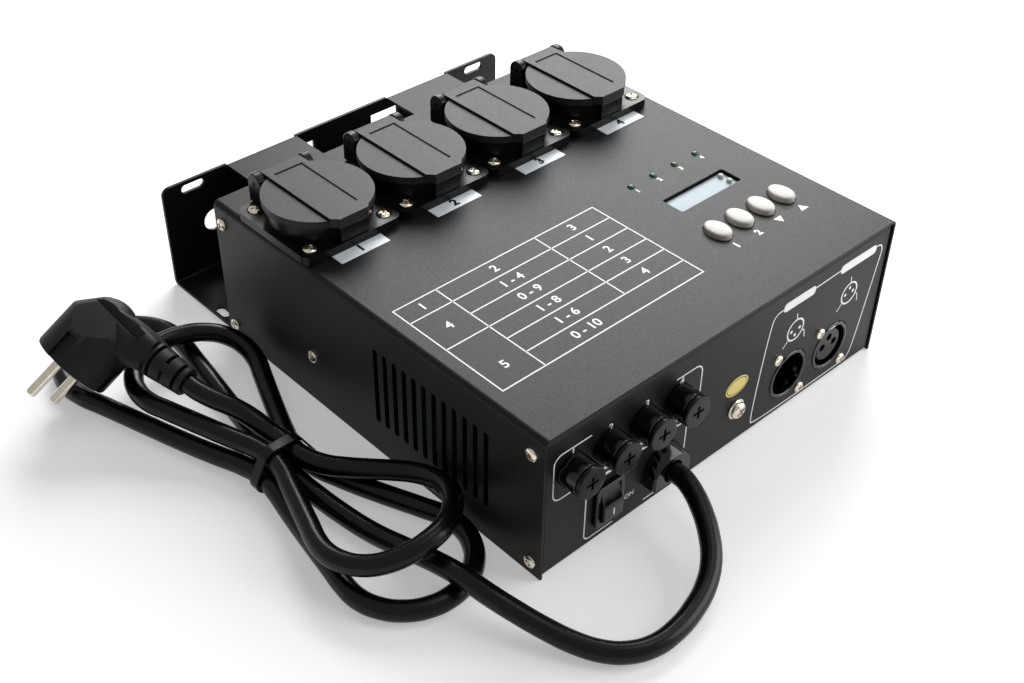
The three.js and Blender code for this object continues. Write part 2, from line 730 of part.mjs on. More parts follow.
// Control panel: buttons and lamps in the cover, board and display below it
function controlPanel() {
  const underside = deckUnderside - gap;
  const stemEnd = underside - buttonFlange - buttonStemLength;
  const tactTop = stemEnd - buttonTravel - gap;
  const boardLeft = firstLamp - boardMargin - buttonHalfWidth;
  const boardRight = caseWidth - inner - boardMargin;
  const boardFront = buttonRowInset - buttonHalfLength - boardMargin;
  const boardRear = ledRowInset + boardMargin;
  const cornerInset = boardMargin / 2;
  const corners = [
    [boardLeft + cornerInset, boardFront + cornerInset],
    [boardRight - cornerInset, boardFront + cornerInset],
    [boardLeft + cornerInset, boardRear - cornerInset],
    [boardRight - cornerInset, boardRear - cornerInset],
  ];
  const half = tactSide / 2;
  const tact = block(-half, half, -half, half, boardTop - overrun, boardTop + tactHeight)
    .add(bar(buttonStemRadius, boardTop + overrun, tactTop, 12));
  const standoff = bar(boardStandoffRadius, boardTop - overrun, underside, 12);
  const board = wasm.Manifold.union([
    block(boardLeft, boardRight, boardFront, boardRear, boardTop - boardThickness, boardTop),
    ...corners.map(([x, y]) => standoff.translate(x, y, 0)),
    ...buttonPlaces.map((x) => tact.translate(x, buttonRowInset, 0)),
  ]);
  addPiece(dimmerPack, "control_board", board, "boardGreen");

  const moduleWidth = windowWidth + 2 * moduleWall;
  const moduleDepth = windowDepth + 2 * moduleWall;
  const lensTop = caseHeight - windowRecess;
  const frame = block(-moduleWidth / 2, moduleWidth / 2, -moduleDepth / 2, moduleDepth / 2,
    boardTop + gap, underside)
    .subtract(block(-windowWidth / 2, windowWidth / 2, -windowDepth / 2, windowDepth / 2,
      lensTop - lensThickness - gap, underside + overrun));
  addPiece(dimmerPack, "display_module", frame.translate(windowCentre, windowRowInset, 0), "blackPlastic");
  const lensX = windowWidth / 2 - gap;
  const lensY = windowDepth / 2 - gap;
  const lens = block(-lensX, lensX, -lensY, lensY, lensTop - lensThickness, lensTop);
  addPiece(dimmerPack, "display_window", lens.translate(windowCentre, windowRowInset, 0), "paleLens");

  const dome = solid(new THREE.SphereGeometry(1, 14, 8)
    .rotateX(Math.PI / 2)
    .scale(buttonHalfWidth, buttonHalfLength, buttonRise - buttonShoulder)
    .translate(0, 0, buttonShoulder));
  const flangeTop = -sheet - gap;
  const flangeOutline = ovalOutline(buttonHalfWidth + buttonFlange, buttonHalfLength + buttonFlange);
  const button = raised(ovalOutline(buttonHalfWidth, buttonHalfLength), flangeTop - gap, buttonShoulder, 7)
    .add(dome)
    .add(raised(flangeOutline, flangeTop - buttonFlange, flangeTop, 6))
    .add(bar(buttonStemRadius, stemEnd - caseHeight, flangeTop, 12));
  const lampProfile = [
    [0, boardTop + gap - caseHeight],
    [ledRadius, boardTop + gap - caseHeight],
    [ledRadius, ledRise - ledRadius / 2],
    [ledRadius * 0.8, ledRise - ledRadius / 5],
    [0, ledRise],
  ];
  buttonPlaces.forEach((x, i) => {
    const key = addPiece(dimmerPack, `button_${i + 1}`, button, "whitePlastic");
    key.position.set(x, buttonRowInset, caseHeight);
  });
  lampPlaces.forEach((x, i) => {
    const lamp = addPiece(dimmerPack, `led_${i + 1}`, turned(lampProfile, 12), "greenLens");
    lamp.position.set(x, ledRowInset, caseHeight);
  });
}

// Pieces on the front panel stand in a group whose Z points out of the panel's face
const front = new THREE.Group();
front.position.set(0, frontSetback, 0);
front.rotation.x = Math.PI / 2;
dimmerPack.add(front);
const panelBack = -sheet - gap;

function fuses() {
  const capBase = fuseShroudLength + gap;
  const capTop = capBase + fuseCapThickness;
  const boreRadius = fuseThreadRadius - fuseBoreWall;
  const boreFloor = capBase - fuseStemLength - 2 * gap - fuseLength;
  const rear = boreFloor - fuseRearWall;
  const holder = turned([
    [0, rear],
    [fuseThreadRadius, rear],
    [fuseThreadRadius, panelBack - fuseNutThickness],
    [fuseNutRadius, panelBack - fuseNutThickness],
    [fuseNutRadius, panelBack],
    [fuseThreadRadius, panelBack],
    [fuseThreadRadius, gap],
    [fuseShroudRadius, gap],
    [fuseShroudRadius - fuseShroudTaper, fuseShroudLength],
    [boreRadius, fuseShroudLength],
    [boreRadius, boreFloor],
    [0, boreFloor],
  ], round);
  const slot = block(-fuseSlotLength / 2, fuseSlotLength / 2, -fuseSlotWidth / 2, fuseSlotWidth / 2,
    capTop - fuseSlotDepth, capTop + overrun);
  const cap = bar(fuseCapRadius, capBase, capTop, round)
    .add(bar(boreRadius - gap, capBase - fuseStemLength, capBase + overrun, small))
    .subtract(slot)
    .subtract(slot.rotate(0, 0, 90));
  const fuse = bar(fuseRadius, boreFloor + gap, boreFloor + gap + fuseLength, 12);
  fusePlaces.forEach((x, i) => {
    const place = new THREE.Group();
    place.position.set(x, fuseHeight, 0);
    front.add(place);
    addPiece(place, `fuse_holder_${i + 1}`, holder, "blackPlastic");
    addPiece(place, `fuse_cap_${i + 1}`, cap, "blackPlastic");
    addPiece(place, `fuse_${i + 1}`, fuse, "glass");
  });
}

function powerSwitch() {
  const pocket = new THREE.Vector2(bezelWidth - 2 * bezelLip, bezelLength - 2 * bezelLip);
  const pivot = bezelRise - pivotDepth;
  const tag = block(-tagWidth / 2, tagWidth / 2, -tagThickness / 2, tagThickness / 2,
    -switchBodyDepth - tagLength, -switchBodyDepth + overrun);
  const frame = raised(roundedOutline(bezelWidth, bezelLength, switchBodyInset), gap, bezelRise)
    .add(block(-switchBody.x / 2, switchBody.x / 2, -switchBody.y / 2, switchBody.y / 2,
      -switchBodyDepth, bezelRise / 2))
    .subtract(block(-pocket.x / 2, pocket.x / 2, -pocket.y / 2, pocket.y / 2,
      -switchPocketDepth, bezelRise + overrun))
    .subtract(barAlongX(pivotRadius + gap, -switchBody.x / 2 - gap, switchBody.x / 2 + gap, 0, pivot, 12))
    .add(tag)
    .add(tag.translate(0, pocket.y / 3, 0))
    .add(tag.translate(0, -pocket.y / 3, 0));
  const place = new THREE.Group();
  place.position.set(switchCentre, switchHeight, 0);
  front.add(place);
  addPiece(place, "power_switch_frame", frame, "blackPlastic");

  const tilt = THREE.MathUtils.degToRad(rockerTilt);
  const sweep = pocket.y / 2 - gap;
  const slope = Math.tan(tilt);
  const across = 1 + slope * slope;
  const offset = rockerReach * slope;
  const half = (offset + Math.sqrt(offset ** 2 + across * (sweep ** 2 - rockerReach ** 2))) / across;
  const edge = rockerReach - half * slope;
  const corner = Math.atan2(edge, half);
  const outline = new THREE.Shape();
  outline.moveTo(0, rockerReach);
  outline.lineTo(-half, edge);
  outline.absarc(0, 0, sweep, Math.PI - corner, Math.PI + corner, false);
  outline.lineTo(0, pivot - switchPocketDepth / 2);
  outline.absarc(0, 0, sweep, -corner, corner, false);
  const width = pocket.x / 2 - gap;
  const rocker = alongX(outline, -width, width, 6)
    .add(barAlongX(pivotRadius, -switchBody.x / 2 + gap, switchBody.x / 2 - gap, 0, 0, 12));
  const mesh = addPiece(place, "power_rocker", rocker, "blackPlastic");
  mesh.position.set(0, 0, pivot);
  mesh.rotation.x = -tilt;
}

function leadBushing() {
  const half = reliefWidth / 2;
  const arch = new THREE.Shape();
  arch.moveTo(-half, -reliefDrop);
  arch.lineTo(half, -reliefDrop);
  arch.lineTo(half, 0);
  arch.absarc(0, 0, half, 0, Math.PI);
  const options = { depth: reliefRise - gap, bevelEnabled: false, curveSegments: 8 };
  const body = new THREE.ExtrudeGeometry(arch, options);
  const places = body.attributes.position;
  for (let i = 0; i < places.count; i += 1) {
    if (places.getZ(i) > gap) {
      places.setX(i, places.getX(i) * reliefSideShare);
      places.setY(i, places.getY(i) * (places.getY(i) > 0 ? reliefTopShare : 1));
    }
  }
  const bushing = solid(body.translate(0, 0, gap))
    .add(bar(reliefNeck, panelBack - reliefTail, gap + overrun, 24))
    .add(bar(reliefNeck + reliefCatch, panelBack - reliefTail / 2, panelBack, 24));
  const mesh = addPiece(front, "strain_relief", bushing, "blackPlastic");
  mesh.position.set(reliefCentre, reliefHeight, 0);
}

function earthScrew() {
  const nutBase = panelBack - earthNutThickness;
  const screw = turned([
    [0, -earthShankLength],
    [earthShankRadius, -earthShankLength],
    [earthShankRadius, nutBase],
    [earthNutRadius, nutBase],
    [earthNutRadius, panelBack],
    [earthShankRadius, panelBack],
    [earthShankRadius, gap],
    [earthHeadRadius, gap],
    [earthHeadRadius, earthHeadRise / 2],
    [earthHeadRadius * 0.8, earthHeadRise],
    [0, earthHeadRise],
  ], 20);
  const mesh = addPiece(front, "earth_screw", screw, "nickel");
  mesh.position.set(earthCentre, earthHeight, 0);
}

// Round signal connectors: their rims fill holes in the panel, their flanges sit behind it
function signalConnectors() {
  const bore = connectorRimRadius - connectorRimWall;
  const shell = bar(connectorRimRadius, -connectorBodyDepth, connectorRimRise)
    .add(raised(roundedOutline(connectorFlangeWidth, connectorFlangeHeight, connectorRimWall),
      panelBack - connectorFlangeThickness, panelBack));
  const well = (depth) => bar(bore, connectorRimRise - depth, connectorRimRise + overrun, 24);
  const onCircle = (shape) => wasm.Manifold.union([0, 1, 2].map((k) => shape
    .translate(signalPinCircle, 0, 0).rotate(0, 0, -90 * k)));
  const pinRoot = connectorRimRise - connectorWellDepth - overrun;
  const pins = onCircle(bar(signalPinRadius, pinRoot, pinRoot + signalPinLength + overrun, 10));
  const inlet = shell.subtract(well(connectorWellDepth)).add(pins);
  const insertFace = connectorRimRise - sheet;
  const insert = bar(bore - insertClearance, connectorRimRise - insertDepth - overrun, insertFace, 24)
    .subtract(onCircle(bar(signalPinRadius + gap, insertFace - insertDepth, insertFace + overrun, 10)));
  const outlet = shell.subtract(well(insertDepth)).add(insert);
  [["xlr_in_connector", inlet], ["xlr_out_connector", outlet]].forEach(([name, shape], i) => {
    const mesh = addPiece(front, name, shape, "blackPlastic");
    mesh.position.set(connectorPlaces[i], connectorHeight, 0);
  });
}

// Board with power switching parts, its heatsink and the transformer
function innerParts() {
  const floor = sheet + gap;
  const base = floor + powerBoardRise;
  const top = base + boardThickness;
  const right = powerBoardLeft + powerBoardWidth;
  const rear = powerBoardFront + powerBoardDepth;
  const standoffs = [powerBoardLeft + 2 * standoffRadius, right - 2 * standoffRadius].flatMap((x) => (
    [powerBoardFront + 2 * standoffRadius, rear - 2 * standoffRadius].map((y) => (
      bar(standoffRadius, floor, base + boardThickness / 2, 12).translate(x, y, 0)))));
  const columns = numbered(socketCount, (i) => powerBoardLeft + ((i + 0.5) * powerBoardWidth) / socketCount);
  const triac = block(-triacWidth / 2, triacWidth / 2, rear - triacThickness, rear,
    top - overrun, top + triacHeight);
  const choke = bar(chokeRadius, top - overrun, top + chokeThickness, 24)
    .subtract(bar(chokeHoleRadius, top, top + chokeThickness + overrun, small))
    .translate(0, rear - triacThickness - 2 * chokeRadius, 0);
  const terminals = block(powerBoardLeft + 4 * standoffRadius, right - 4 * standoffRadius, powerBoardFront,
    powerBoardFront + terminalDepth, top - overrun, top + terminalHeight);
  const board = wasm.Manifold.union([
    block(powerBoardLeft, right, powerBoardFront, rear, base, top),
    terminals,
    ...standoffs,
    ...columns.map((x) => triac.translate(x, 0, 0)),
    ...columns.map((x) => choke.translate(x, 0, 0)),
  ]);
  addPiece(dimmerPack, "power_board", board, "boardGreen");

  const face = rear + gap;
  const finStep = (powerBoardWidth - finThickness) / (finCount - 1);
  const finTop = floor + heatsinkHeight;
  const fin = block(0, finThickness, face, face + heatsinkBase + finLength, floor, finTop);
  const heatsink = wasm.Manifold.union([
    block(powerBoardLeft, right, face, face + heatsinkBase, floor, finTop),
    ...numbered(finCount, (i) => fin.translate(powerBoardLeft + i * finStep, 0, 0)),
  ]);
  addPiece(dimmerPack, "heatsink", heatsink, "aluminium");

  const half = transformerWidth / 2;
  const deep = transformerDepth / 2;
  const crown = caseHeight - bodyDepth - transformerHeadroom;
  const core = block(-half, half, -deep, deep, floor, crown);
  const winding = block(-half + windingWall, half - windingWall, -deep - windingWall, deep + windingWall,
    floor + windingWall, crown - windingWall);
  const feet = block(-half - footReach, half + footReach, -deep / 2, deep / 2, floor, floor + footThickness);
  const transformer = core.add(winding).add(feet);
  const x = caseWidth - inner - sheet - transformerRightInset - half;
  const placed = transformer.translate(x, caseDepth - transformerRearInset - deep, 0);
  addPiece(dimmerPack, "transformer", placed, "copper");
}

// Slots of the cords at the hank's waist, seen along Y: side and height in pitches
const rowRise = Math.sqrt(3) / 2;
const slots = {
  left: [-1, waistLiftShare],
  middle: [0, waistLiftShare],
  right: [1, waistLiftShare],
  upperLeft: [-0.5, waistLiftShare + rowRise],
  upperRight: [0.5, waistLiftShare + rowRise],
};
const cordFloor = cordRadius + (cordPitch - 2 * cordRadius) / 10;
const slotPlace = (name) => new THREE.Vector3(
  waistX + slots[name][0] * cordPitch,
  waistY,
  cordFloor + slots[name][1] * cordPitch,
);

// One strand in plan, from its slot out to the middle of the bight's nose
function strandPlan(start, turn, { reach, radius, centre }) {
  const nose = reach - radius;
  const aside = waistRadius - turn * (centre - start);
  const lean = Math.asin((waistRadius + radius) / Math.hypot(nose, aside)) - Math.atan2(aside, nose);
  const straight = (nose - (waistRadius + radius) * Math.sin(lean)) / Math.cos(lean);
  const first = waistRadius * lean;
  const whole = first + straight + radius * (Math.PI / 2 + lean);
  return numbered(bightSteps + 1, (i) => {
    const along = (whole * i) / bightSteps;
    if (along < first) {
      const angle = along / waistRadius;
      return [start + turn * waistRadius * (1 - Math.cos(angle)), waistRadius * Math.sin(angle)];
    }
    if (along < first + straight) {
      const rest = along - first;
      return [
        start + turn * (waistRadius * (1 - Math.cos(lean)) + rest * Math.sin(lean)),
        waistRadius * Math.sin(lean) + rest * Math.cos(lean),
      ];
    }
    const heading = lean - (along - first - straight) / radius;
    return [centre + turn * radius * Math.cos(heading), nose - radius * Math.sin(heading)];
  });
}

// The hank's middle line: four bights, each from one slot round to the next
function hankPath() {
  const stops = ["middle", ...bights.map((bight) => bight.to)];
  const lifts = bights.flatMap((bight, i) => [slots[stops[i]][1], ...bight.liftShares]);
  lifts.push(slots[stops[bights.length]][1]);
  const lift = new THREE.SplineCurve(lifts.map((value, i) => new THREE.Vector2(i, value)));
  const points = bights.flatMap((bight, i) => {
    const out = strandPlan(slots[stops[i]][0] * cordPitch, bight.turn, bight);
    const home = strandPlan(slots[bight.to][0] * cordPitch, -bight.turn, bight).reverse();
    const plan = [...out, ...home.slice(1)].slice(i === 0 ? 0 : 1);
    return plan.map(([x, y], k) => {
      const share = (i + (k + (i === 0 ? 0 : 1)) / (2 * bightSteps)) / bights.length;
      const z = cordFloor + cordPitch * lift.getPoint(share).y;
      return new THREE.Vector3(waistX + x, waistY + bight.side * y, z);
    });
  });
  return new THREE.CatmullRomCurve3(points, false, "centripetal");
}

// A path through hand-chosen points whose two ends run straight along the given ways
function cordRun(start, startWay, points, end, endWay) {
  const straight = 2 * cordRadius;
  return new THREE.CatmullRomCurve3([
    start,
    start.clone().addScaledVector(startWay, straight / 2),
    start.clone().addScaledVector(startWay, straight),
    ...points.map(([x, y, z]) => new THREE.Vector3(x, y, z)),
    end.clone().addScaledVector(endWay, -straight),
    end.clone().addScaledVector(endWay, -straight / 2),
    end,
  ], false, "centripetal");
}

function leadAndPlug() {
  const rearwards = new THREE.Vector3(0, 1, 0);
  const forwards = new THREE.Vector3(0, -1, 0);
  const bushingFace = new THREE.Vector3(reliefCentre, frontSetback - reliefRise - gap, reliefHeight);
  const across = new THREE.Vector3().crossVectors(leadLeaves, pinsPoint).normalize();
  const away = new THREE.Vector3().crossVectors(pinsPoint, across).normalize();
  const out = away.clone().applyAxisAngle(across, -THREE.MathUtils.degToRad(neckLean));
  const sleeveEnd = plugFace.clone()
    .addScaledVector(pinsPoint, -plugAxisDepth)
    .addScaledVector(out, plugReach + gap);
  const beforeHank = slotPlace("middle").addScaledVector(forwards, 2 * gap);
  const afterHank = slotPlace("upperRight").addScaledVector(rearwards, 2 * gap);

  const lead = cordRun(bushingFace, forwards, leadPoints, beforeHank, rearwards);
  const hank = hankPath();
  const tail = cordRun(afterHank, rearwards, tailPoints, sleeveEnd, out.negate());
  const steps = (path, length) => Math.round(path.getLength() / length);
  addPiece(dimmerPack, "cord_lead", tube(lead, cordRadius, steps(lead, cordStep), cordSides), "cable");
  addPiece(dimmerPack, "cord_hank", tube(hank, cordRadius, bights.length * bightSteps, hankSides), "cable");
  addPiece(dimmerPack, "cord_tail", tube(tail, cordRadius, steps(tail, cordStep), cordSides), "cable");
  const fine = bights.length * bightSteps * 8;
  const loose = leastGap(hank, 2 * cordRadius, fine, 2 * waistRadius);
  console.log(`hank: least gap to itself ${loose.toFixed(2)} mm, length ${hank.getLength().toFixed(0)} mm`);
  console.log(`lead ${lead.getLength().toFixed(0)} mm, tail ${tail.getLength().toFixed(0)} mm`);
  tie();
  plug(across, away);
}

// A thin band round the five cords at the waist
function tie() {
  const reach = cordRadius + 2 * gap;
  const outerReach = reach + tieThickness;
  const outline = (radius) => {
    const shape = new THREE.Shape();
    const low = slots.right[0] * cordPitch;
    const high = slots.upperRight[0] * cordPitch;
    const slant = Math.atan2(rowRise * cordPitch, low - high);
    shape.absarc(low, 0, radius, -Math.PI / 2, Math.PI / 2 - slant);
    shape.absarc(high, rowRise * cordPitch, radius, Math.PI / 2 - slant, Math.PI / 2);
    shape.absarc(-high, rowRise * cordPitch, radius, Math.PI / 2, Math.PI / 2 + slant);
    shape.absarc(-low, 0, radius, Math.PI / 2 + slant, 1.5 * Math.PI);
    return shape;
  };
  const band = alongY(outline(outerReach), -tieWidth / 2, tieWidth / 2)
    .subtract(alongY(outline(reach), -tieWidth, tieWidth));
  const mesh = addPiece(dimmerPack, "hank_tie", band, "cable");
  mesh.position.set(waistX, waistY, cordFloor + waistLiftShare * cordPitch);
}

// Plug: Z points the way the pins do and Y the way its lead leaves
function plug(across, away) {
  const place = new THREE.Group();
  place.matrix.makeBasis(across, away, pinsPoint).setPosition(plugFace);
  place.matrixAutoUpdate = false;
  dimmerPack.add(place);
  const rim = plugRadius - edgeRound;
  const shell = turned([
    [0, -plugDepth],
    [plugCrownRadius, -plugDepth],
    [plugBackRadius, -plugBackDepth],
    [plugRadius, -plugWaistDepth],
    [plugRadius, -edgeRound],
    [rim, 0],
    [0, 0],
  ], round);
  const neckBox = new THREE.BoxGeometry(neckWidth, neckLength, neckDepth).translate(0, neckLength / 2, 0);
  const places = neckBox.attributes.position;
  for (let i = 0; i < places.count; i += 1) {
    if (places.getY(i) > neckLength / 2) {
      places.setX(i, places.getX(i) * neckEndShare);
      places.setZ(i, places.getZ(i) * neckEndShare);
    }
  }
  const sleeveStart = plugReach - sleeveLength;
  const sleeve = bar(sleeveRadius, 0, sleeveLength, small, sleeveEndRadius);
  const grooveStep = sleeveLength / (sleeveGrooves + 2);
  const ring = bar(sleeveRadius + overrun, 0, grooveWidth, small)
    .subtract(bar(sleeveEndRadius - grooveDepth, -overrun, grooveWidth + overrun, small));
  const grooves = numbered(sleeveGrooves, (i) => ring.translate(0, 0, (i + 2) * grooveStep));
  const ribbed = sleeve.subtract(wasm.Manifold.union(grooves)).rotate(-90, 0, 0).translate(0, sleeveStart, 0);
  const leadEnd = solid(neckBox).add(ribbed).rotate(-neckLean, 0, 0).translate(0, 0, -plugAxisDepth);
  const body = shell.add(leadEnd);
  const side = contactSpacing / 2;
  const pinHole = bar(plugPinRadius + gap, -plugPinRoot - gap, overrun, small);
  const drilled = body.subtract(pinHole.translate(side, 0, 0)).subtract(pinHole.translate(-side, 0, 0));
  addPiece(place, "plug_body", drilled, "blackPlastic");
  [-side, side].forEach((x, i) => {
    const pin = turned([
      [0, -plugPinRoot],
      [plugPinRadius, -plugPinRoot],
      [plugPinRadius, plugPinLength - plugPinRadius / 2],
      [plugPinRadius / 2, plugPinLength],
      [0, plugPinLength],
    ], small);
    const mesh = addPiece(place, `plug_pin_${i + 1}`, pin, "nickel");
    mesh.position.x = x;
  });
}

topCover();
baseChassis();
rearPanel();
rearBracket();
outlets();
controlPanel();
fuses();
powerSwitch();
leadBushing();
earthScrew();
signalConnectors();
innerParts();
leadAndPlug();

// The origin lies under the middle of the pack itself, from the fuse caps to the bracket
const foremost = frontSetback - fuseShroudLength - gap - fuseCapThickness;
dimmerPack.position.set(-caseWidth / 2, -(foremost + bracketRear) / 2, 0);
const part = new THREE.Group();
part.add(dimmerPack);

export default part;
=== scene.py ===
# %% [markdown]
# # A dimmer pack, dressed for its portrait
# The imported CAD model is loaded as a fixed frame. Pieces whose shape is coarse there are made again
# here with finer edges, in the same places, and every piece gets a finish built from shader nodes.
# Lengths are written in millimetres from the case's lower front left corner and turned to metres
# in the model's own frame by one function.

# %% Load the frame
from math import asin, atan2, cos, hypot, pi, radians, sin, sqrt, tan
import bmesh
import bpy
from mathutils import Matrix, Vector
from mathutils.geometry import convex_hull_2d


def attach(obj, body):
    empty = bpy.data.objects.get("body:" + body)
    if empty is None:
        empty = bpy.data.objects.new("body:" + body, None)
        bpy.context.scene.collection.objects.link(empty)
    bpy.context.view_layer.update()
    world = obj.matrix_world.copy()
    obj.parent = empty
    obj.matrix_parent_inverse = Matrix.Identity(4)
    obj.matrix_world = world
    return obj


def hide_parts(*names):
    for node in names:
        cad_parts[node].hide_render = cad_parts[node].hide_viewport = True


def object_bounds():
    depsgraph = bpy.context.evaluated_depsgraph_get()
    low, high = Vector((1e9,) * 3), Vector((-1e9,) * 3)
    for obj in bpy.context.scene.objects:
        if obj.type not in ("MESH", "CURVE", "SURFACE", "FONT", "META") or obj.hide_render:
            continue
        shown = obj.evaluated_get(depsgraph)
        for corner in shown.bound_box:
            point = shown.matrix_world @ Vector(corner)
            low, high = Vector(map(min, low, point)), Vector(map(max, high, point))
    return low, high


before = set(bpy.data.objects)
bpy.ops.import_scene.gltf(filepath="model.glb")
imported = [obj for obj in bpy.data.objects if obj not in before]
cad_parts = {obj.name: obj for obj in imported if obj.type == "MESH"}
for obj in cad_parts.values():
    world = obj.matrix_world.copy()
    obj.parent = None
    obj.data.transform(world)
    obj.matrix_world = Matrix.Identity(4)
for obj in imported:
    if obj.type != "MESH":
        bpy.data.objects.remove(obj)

cad_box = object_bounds()
mm = 0.001
case_width, case_depth, case_height = 207.0, 204.0, 70.4
sheet = 1.2
case_frame = Matrix.Translation((-case_width / 2 * mm, -121.0 * mm, 0))

# %% [markdown]
# ## Camera
# A product photographer stands a long lens off one corner and tilts it down. The place and angles
# come from fitting the case's corners to the picture, so the camera is set once and never moved.

# %% Camera
photo_width, focal_pixels, sensor_width = 1024, 1401.73, 36.0
azimuth, elevation, roll = -43.57, 38.80, 1.02
camera_spot = Vector((-252.50, -247.90, 399.66))

camera_data = bpy.data.cameras.new("studio_camera")
camera_data.sensor_width = sensor_width
camera_data.sensor_fit = "HORIZONTAL"
camera_data.lens = focal_pixels / photo_width * sensor_width
camera_data.clip_start, camera_data.clip_end = 0.01, 20.0
camera = bpy.data.objects.new("studio_camera", camera_data)
bpy.context.scene.collection.objects.link(camera)
turn = (Matrix.Rotation(radians(azimuth), 4, "Z")
        @ Matrix.Rotation(radians(90 - elevation), 4, "X")
        @ Matrix.Rotation(radians(roll), 4, "Z"))
camera.matrix_world = case_frame @ Matrix.Translation(camera_spot * mm) @ turn
bpy.context.scene.camera = camera
print("lens", round(camera_data.lens, 2), "mm")

# %% [markdown]
# ## Colours and shader nodes
# Screens and hex values are in sRGB, while the renderer adds light in linear numbers, so one
# function turns the first into the second. A second function adds any node, with its settings and
# links, which keeps each finish short enough to read.

# %% Colour and node helpers
def linear(hex_value):
    channels = [int(hex_value[i:i + 2], 16) / 255 for i in (1, 3, 5)]
    return (*[c / 12.92 if c <= 0.04045 else ((c + 0.055) / 1.055) ** 2.4 for c in channels], 1.0)


def node(tree, kind, inputs=None, **settings):
    made = tree.nodes.new(kind)
    for name, value in settings.items():
        setattr(made, name, value)
    for key, value in (inputs or {}).items():
        if isinstance(value, bpy.types.NodeSocket):
            tree.links.new(value, made.inputs[key])
        else:
            made.inputs[key].default_value = value
    return made


def spread(tree, value, low, high, start=0.3, end=0.7):
    """A number between start and end, stretched to run from low to high."""
    return node(tree, "ShaderNodeMapRange", {
        "Value": value, "From Min": start, "From Max": end, "To Min": low, "To Max": high}).outputs["Result"]

# %% [markdown]
# A finish is two colours and two roughness values, each blended over a pattern of real size. The
# pattern is soft noise, or thin lines where a tool drew along the piece.

# %% Patterns and finishes
def patches(size_mm, detail=2.0, roughness=0.5):
    """Soft random patches of a real size, as a number from 0 to 1."""
    return lambda tree: node(tree, "ShaderNodeTexNoise", {
        "Vector": node(tree, "ShaderNodeTexCoord").outputs["Object"], "Scale": 1 / (size_mm * mm),
        "Detail": detail, "Roughness": roughness}).outputs["Fac"]


def even_patches(*values):
    """Patches stretched to reach both ends."""
    return lambda tree: spread(tree, patches(*values)(tree), 0.0, 1.0)


def drawn_lines(scale, detail):
    """Marks that run along the axis with the smallest scale."""
    def pattern(tree):
        place = node(tree, "ShaderNodeTexCoord").outputs["Object"]
        drawn = node(tree, "ShaderNodeMapping", {"Vector": place, "Scale": scale}).outputs["Vector"]
        return node(tree, "ShaderNodeTexNoise", {
            "Vector": drawn, "Scale": 1.0, "Detail": detail}).outputs["Fac"]
    return pattern


def iron_plates(tree):
    """Stacked plates, about 2.9 mm from line to line."""
    return node(tree, "ShaderNodeTexWave", {
        "Vector": node(tree, "ShaderNodeTexCoord").outputs["Object"], "Scale": 350.0, "Distortion": 1.0},
        bands_direction="Z").outputs["Fac"]


def finish(name, colours, rough, bump=None, **surface):
    """A material: colours and rough are (pattern, one, other), bump is (pattern, depth, strength)."""
    material = bpy.data.materials.new(name)
    material.use_nodes = True
    tree = material.node_tree
    shader = tree.nodes["Principled BSDF"]
    for key, value in surface.items():
        shader.inputs[key.replace("_", " ")].default_value = value
    pattern, one, other = colours
    colour = node(tree, "ShaderNodeMix", {"Factor": pattern(tree), "A": linear(one), "B": linear(other)},
                  data_type="RGBA")
    tree.links.new(colour.outputs["Result"], shader.inputs["Base Color"])
    if isinstance(rough, tuple):
        pattern, low, high = rough
        tree.links.new(spread(tree, pattern(tree), low, high), shader.inputs["Roughness"])
    else:
        shader.inputs["Roughness"].default_value = rough
    if bump:
        pattern, depth, strength = bump
        relief = node(tree, "ShaderNodeBump", {
            "Height": pattern(tree), "Distance": depth * mm, "Strength": strength})
        tree.links.new(relief.outputs["Normal"], shader.inputs["Normal"])
    return material

# %% [markdown]
# ## Finish: powder-coated steel
# The case is mild steel, bent and then powder coated: polyester powder is sprayed on dry and baked,
# and it flows into a fine orange-peel skin. The skin scatters a wide soft sheen, so a broad light
# turns the black coat grey, while faces with no light to mirror stay nearly black.
# The grains are about 0.5 mm; they are drawn at 0.7 mm so that they show at this distance.

# %% Powder-coated steel
grains = patches(0.7, 3.0, 0.6)
powder_coat = finish("powder_coated_steel", (even_patches(60.0), "#0e0e0f", "#131314"), (grains, 0.40, 0.50),
                     bump=(grains, 0.05, 0.5), IOR=1.5, Specular_IOR_Level=0.2)
print(powder_coat.name)

# %% [markdown]
# ## Finishes: moulded plastics
# Lids and housings are injection-moulded polyamide. The lid's tool was spark eroded, which leaves
# a fine even grain and a matt face; the housing came from a smoother tool and shines a little.
# Fuse shrouds, rocker, bezel, strain relief and connector shells come from polished tools and mirror
# the room. The white buttons are ABS, which lets a little light in and so looks soft.

# %% Moulded plastics
grains = patches(0.5, 2.0, 0.6)
lid_plastic = finish("spark_eroded_polyamide", (even_patches(25.0), "#191a19", "#20211f"),
                     (grains, 0.46, 0.60), bump=(grains, 0.03, 0.5), IOR=1.53, Specular_IOR_Level=0.32)
housing_plastic = finish("moulded_black_polyamide", (even_patches(12.0), "#080808", "#0c0c0c"),
                         (patches(6.0, 1.0), 0.24, 0.34), IOR=1.53, Specular_IOR_Level=0.2)
polished_black = finish("polished_black_polyamide", (even_patches(6.0), "#060606", "#0a0a0a"),
                        (patches(4.0, 1.0), 0.10, 0.18), IOR=1.53, Specular_IOR_Level=0.4)
button_plastic = finish("moulded_white_abs", (even_patches(5.0), "#cbc7c0", "#d6d3cd"),
                        (patches(0.6), 0.42, 0.52), IOR=1.54, Subsurface_Weight=0.05,
                        Subsurface_Radius=(0.0012, 0.0010, 0.0008), Subsurface_Scale=1.0)
print(lid_plastic.name, housing_plastic.name, polished_black.name, button_plastic.name)

# %% [markdown]
# ## Finish: extruded soft PVC
# A mains lead's sheath is plasticised PVC, drawn through a round die round its twisted cores. The
# skin is smooth with a slow waviness left by the cores, so highlights run along it a little broken.

